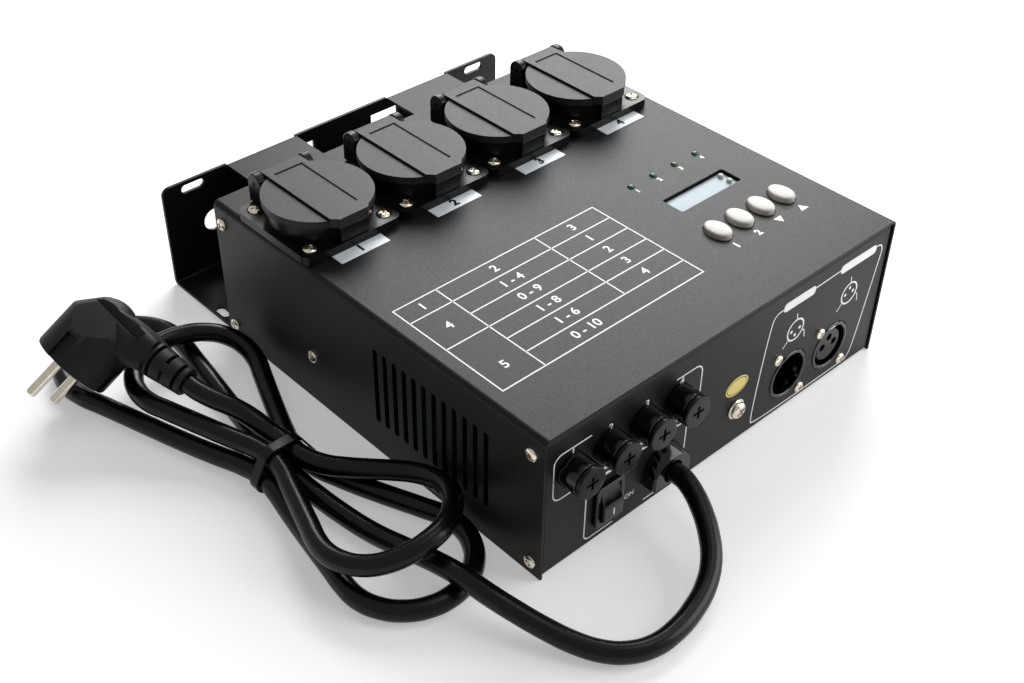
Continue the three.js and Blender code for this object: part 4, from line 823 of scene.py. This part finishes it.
# %% Buttons and lamps
button_half_width, button_half_depth = 4.8, 6.7
stages = [(1.2, -2.7), (1.2, -1.5), (0.0, -1.5), (0.0, 1.5), (-0.08, 1.8), (-0.3, 2.1), (-0.65, 2.3),
          (-1.2, 2.44), (-2.2, 2.57), (-3.3, 2.66), (-4.2, 2.7)]
button_cap = lofted([[(x, y, height) for x, y in oval(button_half_width + grow, button_half_depth + grow, 56)]
                     for grow, height in stages])
button_mesh = mesh_of("button", [button_cap, cylinder(1.7, 64.7 - case_height, -2.7, 24)])
lamp_radius, lamp_rise = 1.45, 1.0
lamp_mesh = mesh_of("lamp", [turned(
    [(0, -5.0), (lamp_radius, -5.0), (lamp_radius, lamp_rise - 0.9)]
    + [(lamp_radius * cos(radians(a)), lamp_rise - 0.9 + 0.9 * sin(radians(a))) for a in range(15, 90, 15)]
    + [(0, lamp_rise)], 32)])
for i in range(4):
    show(f"oval_button_{i + 1}", button_mesh.copy(), on_top(button_x(i), button_y), button_plastic,
         body=f"key_{i + 1}", stands_for=[f"button_{i + 1}"])
    show(f"round_lamp_{i + 1}", lamp_mesh.copy(), on_top(lamp_x(i), lamp_y), green_epoxy,
         stands_for=[f"led_{i + 1}"])

# %% Display window
window_low, window_high = 67.4, 68.8
show("window_plate", mesh_of("window", [drawn_out(rounded(38.1, 11.0, 0.8), window_low, window_high)]),
     on_top(window_x, window_y, 0), window_sheet, stands_for=["display_window"], edge=0.15)
dot_mesh = mesh_of("status_dot", [turned([(0, 68.0), (1.35, 68.0), (1.35, 69.6), (1.1, 70.1), (0.6, 70.35),
                                          (0, 70.4)], 32)])
for i, y in enumerate((73.6, 68.6)):
    show(f"status_dot_{i + 1}", dot_mesh.copy(), on_top(179.0, y, 0), button_plastic)
print("buttons, lamps and window placed")

# %% [markdown]
# ## Fuse holders
# A fuse holder is a bayonet tube with a nut behind the panel. Its cap sits a little proud inside
# the shroud and is turned with a screwdriver or a coin, hence the cross cut into it.

# %% Fuse holders and caps
fuse_shroud = turned([(6.8, 0.3), (7.3, 0.3), (7.3, 0.9), (7.05, 8.1), (6.8, 8.6), (6.5, 8.7), (4.4, 8.7),
                      (4.4, 0.3)], 72)
fuse_barrel = turned([(6.0, 0.3), (6.0, -30.0), (4.6, -32.0), (4.2, -32.0), (4.2, 0.3)], 48)
fuse_nut = turned([(6.1, -3.4), (8.2, -3.4), (8.2, -1.5), (6.1, -1.5)], 6)
shroud_mesh = mesh_of("fuse_shroud", [fuse_shroud, fuse_barrel, fuse_nut])
cap = turned([(0, 1.0), (4.1, 1.0), (4.1, 9.0), (6.7, 9.0), (7.0, 9.3), (7.0, 10.4), (6.75, 10.85),
              (6.3, 11.0), (0, 11.0)], 64)
cross = [box_shape(-3.0, 3.0, -0.65, 0.65, 10.0, 12), box_shape(-0.65, 0.65, -3.0, 3.0, 10.0, 12)]
cap_mesh = cut_mesh(cut_mesh(mesh_of("fuse_cap", [cap]), [cross[0]]), [cross[1]])
for i in range(4):
    show(f"bayonet_shroud_{i + 1}", shroud_mesh.copy(), on_front(fuse_x(i), fuse_height), polished_black,
         stands_for=[f"fuse_holder_{i + 1}"])
    show(f"slotted_cap_{i + 1}", cap_mesh.copy(), on_front(fuse_x(i), fuse_height), housing_plastic,
         body=f"cap_{i + 1}", stands_for=[f"fuse_cap_{i + 1}"], edge=0.12)
print("fuses placed")

# %% [markdown]
# ## Power switch
# A rocker switch snaps into the panel from the front: a thin bezel lies on the sheet, and the
# rocker's two faces meet at a shallow crease over the pivot. Here its top is pressed in.

# %% Switch frame and rocker
bezel_width, bezel_height, bezel_out = 15.0, 20.4, 2.0
bezel = drawn_out(rounded(bezel_width, bezel_height, 1.4), 0.3, bezel_out)
switch_body = drawn_out(rounded(13.0, 18.4, 0.5), -17.0, 0.4)
pocket = drawn_out(rounded(10.8, 16.2, 0.5), -9.5, 4)
frame_piece = cut_mesh(mesh_of("bezel", [bezel, switch_body]), [pocket])
show("snap_in_bezel", frame_piece, on_front(switch_x, switch_z), polished_black,
     stands_for=["power_switch_frame"], edge=0.45, edge_steps=3)

rocker_half, sweep, crest, pivot_out = 5.1, 7.8, 3.5, 0.4
profile = [(-sweep * 0.97, -1.5)]
for i in range(21):
    share = -1 + i / 10
    profile.append((0.97 * sweep * share, crest - sweep * tan(radians(11)) * (sqrt(share ** 2 + 0.01) - 0.1)))
profile += [(sweep * 0.97, -1.5), (2.5, -5.5), (-2.5, -5.5)]
rocker_solid = moved(drawn_out(profile, -rocker_half, rocker_half), matrix=along_x)
tilt = Matrix.Translation((0, 0, pivot_out)) @ Matrix.Rotation(radians(-11), 4, "X")
rocker_mesh = mesh_of("rocker", [moved(rocker_solid, matrix=tilt)])
show("curved_rocker", rocker_mesh, on_front(switch_x, switch_z), polished_black, body="rocker",
     stands_for=["power_rocker"], edge=0.4, edge_steps=3)
mark_out = crest - sweep * tan(radians(11)) * (sqrt(0.5 ** 2 + 0.01) - 0.1)
on_lower_face = Matrix.Translation((0, -0.5 * sweep, mark_out)) @ Matrix.Rotation(radians(10.8), 4, "X")
rocker_mark = moved(box_shape(-0.35, 0.35, -1.7, 1.7, -0.3, 0.08), matrix=tilt @ on_lower_face)
show("rocker_mark", mesh_of("rocker_mark", [rocker_mark]), on_front(switch_x, switch_z), screen_ink,
     body="rocker")
print("rocker faces", len(rocker_mesh.polygons))

# %% [markdown]
# ## Strain relief, earth screw and signal connectors
# The strain relief is two nylon halves squeezed round the lead: a D-shaped nose that narrows as it
# leaves the panel. The signal connectors are chassis types held from behind, so a round rim, its
# contacts and two screws show.

# %% Strain relief
def arch(half, low, high, steps=28):
    """A flat bottom with a half round over it."""
    return [(-half, low), (half, low), *arc(0, high - half, half, 0, 180, steps)]


nose = arch(10.5, -5.5, 10.5)
stages = [(0.3, 1.0, 1.0), (0.9, 1.0, 1.0), (3.0, 0.985, 0.90), (4.6, 0.97, 0.80), (5.6, 0.955, 0.73),
          (6.0, 0.93, 0.69), (6.1, 0.88, 0.64)]
dome = lofted([[(x * side_share, y * (top_share if y > 0 else 1), out) for x, y in nose]
               for out, side_share, top_share in stages])
bore = turned([(0, -20), (4.45, -20), (4.45, 2.6), (5.0, 5.6), (5.3, 6.4), (5.3, 9), (0, 9)], 48)
relief_mesh = cut_mesh(mesh_of("relief", [dome, cylinder(5.0, -11, 0.6, 40)]), [bore])
show("nylon_strain_relief", relief_mesh, on_front(bushing_x, bushing_z), polished_black,
     stands_for=["strain_relief"], edge=0.35)
print("strain relief faces", len(relief_mesh.polygons))

# %% Earth screw
washer = turned([(0, 0.1), (4.7, 0.1), (4.7, 0.7), (4.4, 0.9), (0, 0.9)], 48)
dome = turned([(0, 0.5), (3.9, 0.5), (3.9, 1.6), (3.7, 2.3), (3.1, 2.9), (2.0, 3.3), (0, 3.4)], 40)
cuts = [moved(box_shape(-2.3, 2.3, -0.5, 0.5, 2.2, 5), matrix=Matrix.Rotation(angle, 4, "Z"))
        for angle in (0.5, 0.5 + pi / 2)]
earth_mesh = cut_mesh(cut_mesh(mesh_of("earth", [washer, dome]), [cuts[0]]), [cuts[1]])
show("plated_earth_screw", earth_mesh, on_front(earth_x, earth_z), nickel_plate,
     stands_for=["earth_screw"], edge=0.2)
print("earth screw faces", len(earth_mesh.polygons))

# %% Signal connectors
rim_out, rim_in, contact_ring, hole_ring = 11.7, 10.0, 3.6, 4.0
plate = drawn_out(rounded(25.0, 30.0, 2.0), -3.5, -1.4)
rim = turned([(9.7, -15.4), (rim_out, -15.4), (rim_out, 0.0), (rim_out - 0.35, 0.4), (rim_in + 0.4, 0.4),
              (rim_in, 0.0), (rim_in, -15.0), (9.7, -15.0)], 80)
well_bottom = cylinder(11.5, -16.5, -15.0)
plate_ring = cut_mesh(mesh_of("plate", [plate]), [cylinder(11.2, -6, 2)])
contact_mesh = mesh_of("male_contacts", [
    moved(turned([(0, -15.5), (1.2, -15.5), (1.2, -6.6), (0.7, -6.0), (0, -6.0)], 24),
          contact_ring * cos(radians(a)), contact_ring * sin(radians(a))) for a in (0, -90, -180)])
insert = turned([(0, -15.5), (8.1, -15.5), (8.1, -1.3), (7.6, -0.8), (0, -0.8)], 64)
insert_holes = [moved(turned([(0, -14), (1.5, -14), (1.5, -1.4), (1.9, -0.7), (1.9, 2), (0, 2)], 24),
                      hole_ring * cos(radians(a)), hole_ring * sin(radians(a))) for a in (0, 90, 180)]
insert_mesh = cut_mesh(mesh_of("insert", [insert]), insert_holes)
latch_mesh = mesh_of("latch", [box_shape(-3.2, 3.2, 8.6, 10.4, -12, -0.3)])
in_place, out_place = on_front(connector_x[0], connector_z), on_front(connector_x[1], connector_z)
for kind, node_name, place in (("male", "xlr_in_connector", in_place),
                               ("female", "xlr_out_connector", out_place)):
    show(f"{kind}_connector_shell", mesh_of(f"{kind}_shell", [rim, well_bottom]), place, polished_black,
         stands_for=[node_name])
    show(f"{kind}_connector_plate", plate_ring.copy(), place, housing_plastic)
show("male_connector_contacts", contact_mesh, in_place, nickel_plate)
show("female_connector_insert", insert_mesh, out_place, housing_plastic, edge=0.12)
show("female_connector_latch", latch_mesh, out_place, nickel_plate, edge=0.3)
print("front placed")

# %% [markdown]
# ## Tie and plug
# The hank is held by a twist of black tape. The plug is an angled safety plug moulded onto the
# lead: a round body with a guide notch down each side, two slanted thumb flats and two grooves on
# its back, a raised neck, and a sleeve with ring gaps that lets the lead bend without breaking.

# %% Tie
tie_low, tie_high, tie_inner, tie_thick = 106.5, 111.5, 4.85, 0.9


def round_strands(radius, steps=36):
    """The outline that wraps the five strands at the waist."""
    points = [(round(waist_x + x * cord_pitch + dx, 4), round(cord_floor + z * cord_pitch + dz, 4))
              for x, z in slots.values() for dx, dz in oval(radius, radius, steps)]
    return [points[i] for i in convex_hull_2d(points)]


outer_band, inner_band = round_strands(tie_inner + tie_thick), round_strands(tie_inner)
tie_solid = moved(drawn_out(outer_band, -tie_high, -tie_low), matrix=along_y)
tie_hole = moved(drawn_out(inner_band, -tie_high - 2, -tie_low + 2), matrix=along_y)
tie_mesh = cut_mesh(mesh_of("tie", [tie_solid]), [tie_hole])
show("wrapped_tie", tie_mesh, case_frame, housing_plastic, stands_for=["hank_tie"], edge=0.35)
print("tie corners", len(outer_band))

# %% Plug body
plug_radius = 17.0
body = turned([(0, 0), (plug_radius - 1.3, 0), (plug_radius - 0.4, -0.35), (plug_radius, -1.3),
               (plug_radius, -20.8), (plug_radius - 0.35, -22.2), (9.4, -31.0), (7.6, -32.4), (4.6, -33.9),
               (2.4, -34.5), (0, -34.7)], 96)
lean = Matrix.Translation((0, 0, -plug_axis_depth)) @ Matrix.Rotation(-neck_lean, 4, "X")
neck_outline = rounded(20.0, 18.0, 5.0, 8)
neck_stages = [(2.0, 1.0), (12.0, 1.0), (19.0, 0.94), (24.0, 0.86), (25.6, 0.80), (26.0, 0.74)]
neck = moved(lofted([[(x * share, reach, y * share) for x, y in neck_outline]
                     for reach, share in neck_stages]), matrix=lean)
side_guides = []
for hand in (-1, 1):
    low, high = sorted((hand * (plug_radius - 2.2), hand * (plug_radius + 3)))
    side_guides.append(box_shape(low, high, -2.8, 2.8, -13.0, 2))
clip_slots = [box_shape(-2.2, 2.2, 15.5, 25.0, -12.0, 2), box_shape(-2.2, 2.2, -25.0, -15.5, -12.0, 2)]
thumb_flats, back_grooves = [], []
for hand in (-1, 1):
    outward = Matrix.Translation((hand * 16.9, 0, -15.4)) @ Matrix.Rotation(hand * radians(118.7), 4, "Y")
    thumb_flats.append(moved(box_shape(-30, 30, -30, 15, 0, 14), matrix=outward))
    low, high = sorted((hand * 7.8, hand * 11.0))
    back_grooves.append(box_shape(low, high, -8.0, 19.0, -40.0, -28.6))
plug_solid = cut_mesh(mesh_of("plug", [body, neck]), side_guides + clip_slots)
plug_mesh = cut_mesh(cut_mesh(plug_solid, thumb_flats), back_grooves)
show("moulded_plug", plug_mesh, plug_place, plug_plastic, stands_for=["plug_body"], edge=0.6, edge_steps=3)
print("plug faces", len(plug_mesh.polygons))

# %% Plug sleeve and pins
sleeve_start, sleeve_wide, sleeve_narrow, ring_count = 25.4, 7.8, 6.2, 3
span = plug_reach - sleeve_start
sleeve = turned([(4.5, sleeve_start - 2), (7.2, sleeve_start - 2), (sleeve_wide, sleeve_start + 1),
                 (sleeve_narrow, plug_reach - 0.5), (sleeve_narrow - 0.5, plug_reach), (4.5, plug_reach),
                 (4.5, sleeve_start - 2)], 56)
ring_gaps = []
for k in range(ring_count):
    low = sleeve_start + span * (k + 0.35) / ring_count
    for hand in (-1, 1):
        left, right = sorted((hand * 1.8, hand * 9.0))
        gap_shape = box_shape(left, right, -9, 9, low, low + 1.5)
        ring_gaps.append(moved(gap_shape, matrix=Matrix.Rotation(pi / 2 * (k % 2), 4, "Z")))
upright = Matrix(((1, 0, 0, 0), (0, 0, 1, 0), (0, -1, 0, 0), (0, 0, 0, 1)))
sleeve_mesh = cut_mesh(mesh_of("sleeve", [moved(sleeve, matrix=lean @ upright)]),
                       [moved(shape, matrix=lean @ upright) for shape in ring_gaps])
show("ribbed_sleeve", sleeve_mesh, plug_place, plug_plastic, edge=0.2)
pin = turned([(0, -2.0), (2.2, -2.0), (2.2, 16.4), (2.0, 17.3), (1.4, 17.85), (0, 18.0)], 40)
for i, x in enumerate((-pin_spread, pin_spread)):
    show(f"turned_plug_pin_{i + 1}", mesh_of("plug_pin", [moved(pin, x)]), plug_place, nickel_plate,
         stands_for=[f"plug_pin_{i + 1}"])
print("lead finished")

# %% [markdown]
# ## Printed marks
# White epoxy ink is pushed through a screen onto the powder coat, about 0.05 mm thick. The lines
# are drawn as thin ribbons with mitred corners, so they catch light at their edges as ink does.
# Marks that only guide the eye, such as frames and numbers, are kept plain.

# %% Ribbons of ink
ink_rise, ink_sunk = 0.05, -0.2


def ribbon(points, width, closed=False, low=ink_sunk, high=ink_rise):
    """A line of ink through the points, with mitred corners."""
    count = len(points)
    corners = []
    for i, (x, y) in enumerate(points):
        before = points[i - 1] if closed or i else points[i]
        after = points[(i + 1) % count] if closed or i < count - 1 else points[i]
        runs = []
        for ax, ay, bx, by in ((*before, x, y), (x, y, *after)):
            length = hypot(bx - ax, by - ay)
            if length > 1e-9:
                runs.append((-(by - ay) / length, (bx - ax) / length))
        nx, ny = runs[0][0] + runs[-1][0], runs[0][1] + runs[-1][1]
        stretch = width / (nx * nx + ny * ny)
        nx, ny = nx * stretch, ny * stretch
        corners += [(x + side * nx, y + side * ny, z) for z in (low, high) for side in (1, -1)]
    faces = []
    for i in range(count if closed else count - 1):
        a, b = 4 * i, 4 * ((i + 1) % count)
        faces += [[a + 2, a + 3, b + 3, b + 2], [a, b, b + 1, a + 1], [a, a + 2, b + 2, b],
                  [a + 1, b + 1, b + 3, a + 3]]
    if not closed:
        faces += [[0, 1, 3, 2], [4 * count - 4, 4 * count - 2, 4 * count - 1, 4 * count - 3]]
    return corners, faces


def numbers(name, text, size, place, material=screen_ink, bold=0.02):
    """Plain printed numbers, centred on their place."""
    words = bpy.data.curves.new(name, "FONT")
    words.body, words.size = text, size * mm
    words.align_x, words.align_y = "CENTER", "CENTER"
    words.extrude = 0.5 * ink_rise * mm
    words.offset = bold * size * mm
    words.materials.append(material)
    obj = bpy.data.objects.new(name, words)
    bpy.context.scene.collection.objects.link(obj)
    obj.matrix_world = place @ Matrix.Translation((0, 0, 0.6 * ink_rise * mm))
    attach(obj, "pack")


def number_row(name, size, places, **look):
    """Prints 1, 2, 3 and so on, one at each place."""
    for i, place in enumerate(places, 1):
        numbers(f"{name}_{i}", str(i), size, place, **look)

# %% Table on the cover
line = 0.6
left, right, front, back = 8.0, 117.3, 30.2, 92.7
first_divider, second_divider = 29.5, 83.0
rows = (82.4, 72.0, 61.3, 51.4, 40.9)
marks = [ribbon([(left, front), (right, front), (right, back), (left, back)], line, closed=True)]
marks += [ribbon([(left if k in (0, 2) else first_divider, y), (right, y)], line) for k, y in enumerate(rows)]
marks += [ribbon([(x, y), (x, back)], line) for x, y in ((first_divider, front), (second_divider, rows[-1]))]
show("printed_table", mesh_of("table", marks), on_top(0, 0), screen_ink)
row_middles = [(a + b) / 2 for a, b in zip((back, *rows), (*rows, front))]
column_middles = [(a + b) / 2 for a, b in ((left, first_divider), (first_divider, second_divider),
                                           (second_divider, right))]
cells = [("1", 0, 0), ("2", 1, 0), ("3", 2, 0), ("4", 0, 1.5), ("5", 0, 4.5),
         ("1 - 4", 1, 1), ("0 - 9", 1, 2), ("1 - 8", 1, 3), ("1 - 6", 1, 4), ("0 - 10", 1, 5),
         ("1", 2, 1), ("2", 2, 2), ("3", 2, 3), ("4", 2, 4)]
for k, (text, column, row) in enumerate(cells):
    y = (row_middles[int(row)] + row_middles[min(int(row + 0.5), 5)]) / 2
    numbers(f"table_numbers_{k + 1}", text, 6.2, on_top(column_middles[column], y))

# %% Marks round the controls and label plates
number_row("lamp_number", 3.4, [on_top(lamp_x(i), lamp_y - 4.2) for i in range(4)], bold=0.045)
arrow_half, arrow_low, arrow_high = 2.4, 31.2, 35.2
arrows = [drawn_out([(x - arrow_half, foot), (x, tip), (x + arrow_half, foot)], ink_sunk, ink_rise)
          for x, foot, tip in ((170.2, arrow_high, arrow_low), (184.5, arrow_low, arrow_high))]
show("printed_arrows", mesh_of("arrows", arrows), on_top(0, 0), screen_ink)
number_row("button_number", 5.0, [on_top(button_x(i) - 1.4, 33.2) for i in range(2)], bold=0.045)

label_places, label_y, label_rise = (25.2, 75.75, 126.35, 178.05), 134.25, 0.25
plate_mesh = mesh_of("label_plate", [drawn_out(rounded(25.0, 7.3, 0.4), -0.1, label_rise)])
for i, x in enumerate(label_places):
    show(f"channel_label_{i + 1}", plate_mesh.copy(), on_top(x, label_y), label_film, edge=0.08)
number_row("channel_number", 6.4, [on_top(x, label_y, case_height + label_rise) for x in label_places],
           material=housing_plastic, bold=0.04)

# %% Frames on the front panel
def smoothed(points, rounds=3):
    """Corner cutting: each round replaces a corner of a closed line by two softer ones."""
    for _ in range(rounds):
        points = [(share * ax + (1 - share) * bx, share * ay + (1 - share) * by)
                  for (ax, ay), (bx, by) in zip(points, points[1:] + points[:1]) for share in (0.75, 0.25)]
    return points


def open_frame(left, right, low, high, radius, corners, start, end):
    """A rounded frame whose line is broken between its end and its start."""
    spots = {"low_left": (left + radius, low + radius, 180),
             "low_right": (right - radius, low + radius, 270),
             "high_right": (right - radius, high - radius, 0),
             "high_left": (left + radius, high - radius, 90)}
    path = [start]
    for corner, forward in corners:
        x, z, first = spots[corner]
        path += arc(x, z, radius, first, first + 90) if forward else arc(x, z, radius, first + 90, first)
    return [*path, end]


fuse_frame = open_frame(5.7, 85.2, 36.6, 58.8, 4.0, [(corner, True) for corner in (
    "high_left", "low_left", "low_right", "high_right")], (24.5, 58.8), (70.1, 58.8))
switch_frame = open_frame(23.6, 79.4, 4.3, 33.4, 3, [(corner, False) for corner in (
    "low_left", "high_left", "high_right", "low_right")], (39.4, 4.3), (57.0, 4.3))
connector_frame = [(124.6, 3.6), (122.0, 6.6), (127.0, 54.5), (129.6, 58.8), (134.0, 59.2), (194.0, 61.2),
                   (200.0, 61.0), (201.2, 57.0), (200.6, 54.0), (192.4, 8.4), (189.6, 4.4), (186.0, 3.6)]
front_marks = [ribbon(fuse_frame, line), ribbon(switch_frame, line),
               ribbon(smoothed(connector_frame), line, closed=True)]
for x0, x1, z in ((134.3, 154.8, 59.4), (171.6, 196.2, 60.4)):
    front_marks.append(moved(drawn_out(rounded(x1 - x0, 4.4, 1.8), ink_sunk, 0.07), (x0 + x1) / 2, z))

# %% Ticks, contact diagrams and the seal
tick_length, thick_line = 2.2, 0.8
for i in range(4):
    for x, z in ((fuse_x(i) + 17.4, fuse_height - 11.5), (fuse_x(i) + 18.9, fuse_height - 14.9)):
        front_marks.append(ribbon([(x, z), (x + tick_length, z)], thick_line))
diagram_radius, dot_ring = 5.2, 2.7
for cx, cz, way in ((145.1, 43.4, -1), (181.4, 44.2, 1)):
    front_marks.append(ribbon(arc(cx, cz, diagram_radius, 0, 345, 28), thick_line, closed=True))
    for angle in (0, way * pi / 2, way * pi):
        front_marks.append(moved(cylinder(0.8, ink_sunk, ink_rise, 16), cx + dot_ring * cos(angle),
                                 cz + dot_ring * sin(angle)))
    for path in ([(0, 5.2), (-0.5, 8.6)], [(4.6, -2.2), (6.4, -3.4), (7.2, -7.4)],
                 [(-4.0, -3.4), (-7.2, -6.6)]):
        front_marks.append(ribbon([(cx + x, cz + z) for x, z in path], 0.5))
show("printed_front_marks", mesh_of("front_marks", front_marks), on_front(0, 0), screen_ink)
number_row("fuse_number", 4.8, [on_front(15.2 + 19.4 * i, 56.4) for i in range(4)])
numbers("switch_on_mark", "ON", 3.4, on_front(48.2, 12.9))
seal_place = on_front(109.5, 33.3)
show("oval_sticker", mesh_of("sticker", [drawn_out(oval(7.0, 4.5, 56), 0.0, 0.12)]), seal_place, gold_foil,
     edge=0.03)
seal_ring = ribbon(oval(6.1, 3.7, 56), 0.3, closed=True, low=0.05, high=0.15)
show("sticker_ring", mesh_of("sticker_ring", [seal_ring]), seal_place, housing_plastic)
print("marks printed")

# %% [markdown]
# ## Finishes for the pieces kept as they are
# The bracket, the rear panel and everything inside keep their model shapes and take a finish.

# %% Finish the kept nodes
kept = {"rear_panel": powder_coat, "rear_bracket": powder_coat, "power_board": solder_mask,
        "control_board": solder_mask, "display_module": housing_plastic, "heatsink": extruded_aluminium,
        "transformer": varnished_iron, "fuse_1": fuse_glass, "fuse_2": fuse_glass, "fuse_3": fuse_glass,
        "fuse_4": fuse_glass}
for name, material in kept.items():
    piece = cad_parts[name]
    for spot in piece.material_slots:
        spot.link = "OBJECT"
        spot.material = material
    if material is powder_coat:
        bevel = piece.modifiers.new("edges", "BEVEL")
        bevel.width, bevel.segments, bevel.limit_method = 0.2 * mm, 2, "ANGLE"
        bevel.harden_normals = True
bare = [name for name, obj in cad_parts.items() if not obj.hide_render and name not in kept]
print("kept", len(kept), "without a finish", bare)

# %% [markdown]
# ## Studio
# The picture has a white ground and one large soft light behind and to the right: the cover
# mirrors it and turns from black to grey. A weaker one lights the front from the right, and a small
# one overhead draws thin streaks along the lead and lifts the shadows. The paper floor glows a
# little for the eye and for mirrors, as a lit table does, so it stays white without more light on
# the case. It is still a real floor, which keeps the soft shadow.

# %% Floor that glows for the eye and for mirrors
floor_half, floor_glow = 12.0, 0.38
floor_mesh = bpy.data.meshes.new("studio_floor")
floor_mesh.from_pydata([(x * floor_half, y * floor_half, 0) for x, y in ((-1, -1), (1, -1), (1, 1), (-1, 1))],
                       [], [(0, 1, 2, 3)])
floor = bpy.data.objects.new("studio_floor", floor_mesh)
floor.location.z = min(cad_box[0][2], 0.0)
bpy.context.scene.collection.objects.link(floor)


def seen_or_mirrored(tree):
    """1 for the camera's rays and for those that a mirror or glass sends on, 0 for the rest."""
    rays = node(tree, "ShaderNodeLightPath").outputs
    seen = rays["Is Camera Ray"]
    for kind in ("Is Glossy Ray", "Is Transmission Ray"):
        seen = node(tree, "ShaderNodeMath", {0: seen, 1: rays[kind]}, operation="MAXIMUM").outputs["Value"]
    return seen


pale_paper = finish("matt_pale_paper", (patches(40.0), "#f6f6f6", "#f9f9f9"), 0.9, IOR=1.45,
                    Specular_IOR_Level=0.1)
tree = pale_paper.node_tree
shader = tree.nodes["Principled BSDF"]
tree.links.new(shader.inputs["Base Color"].links[0].from_socket, shader.inputs["Emission Color"])
glow = node(tree, "ShaderNodeMath", {0: seen_or_mirrored(tree), 1: floor_glow}, operation="MULTIPLY")
tree.links.new(glow.outputs["Value"], shader.inputs["Emission Strength"])
floor_mesh.materials.append(pale_paper)
print(pale_paper.name)

# %% Lights and world
def softbox(name, direction, distance, size, radiance):
    lamp = bpy.data.lights.new(name, "AREA")
    lamp.shape, lamp.size, lamp.size_y = "RECTANGLE", size[0], size[1]
    lamp.energy = radiance * size[0] * size[1] * 4
    obj = bpy.data.objects.new(name, lamp)
    bpy.context.scene.collection.objects.link(obj)
    towards = Vector(direction).normalized()
    obj.location = towards * distance
    obj.rotation_euler = towards.to_track_quat("Z", "Y").to_euler()


softbox("back_right_softbox", (0.64, 0.55, 0.62), 1.25, (0.9, 0.75), 7.2)
softbox("front_right_softbox", (0.72, -0.66, 0.42), 1.3, (1.0, 0.9), 2.8)
softbox("overhead_softbox", (0.26, -0.22, 0.94), 1.2, (0.5, 0.5), 1.2)
world_light, world_seen = 0.18, 0.5
world = bpy.data.worlds.new("studio_room")
bpy.context.scene.world = world
world.use_nodes = True
tree = world.node_tree
background = tree.nodes["Background"]
background.inputs["Color"].default_value = (1, 1, 1, 1)
tree.links.new(spread(tree, seen_or_mirrored(tree), world_light, world_seen, 0.0, 1.0),
               background.inputs["Strength"])
bpy.context.scene.view_settings.view_transform = "Standard"
print("lamps", len(bpy.data.lights))
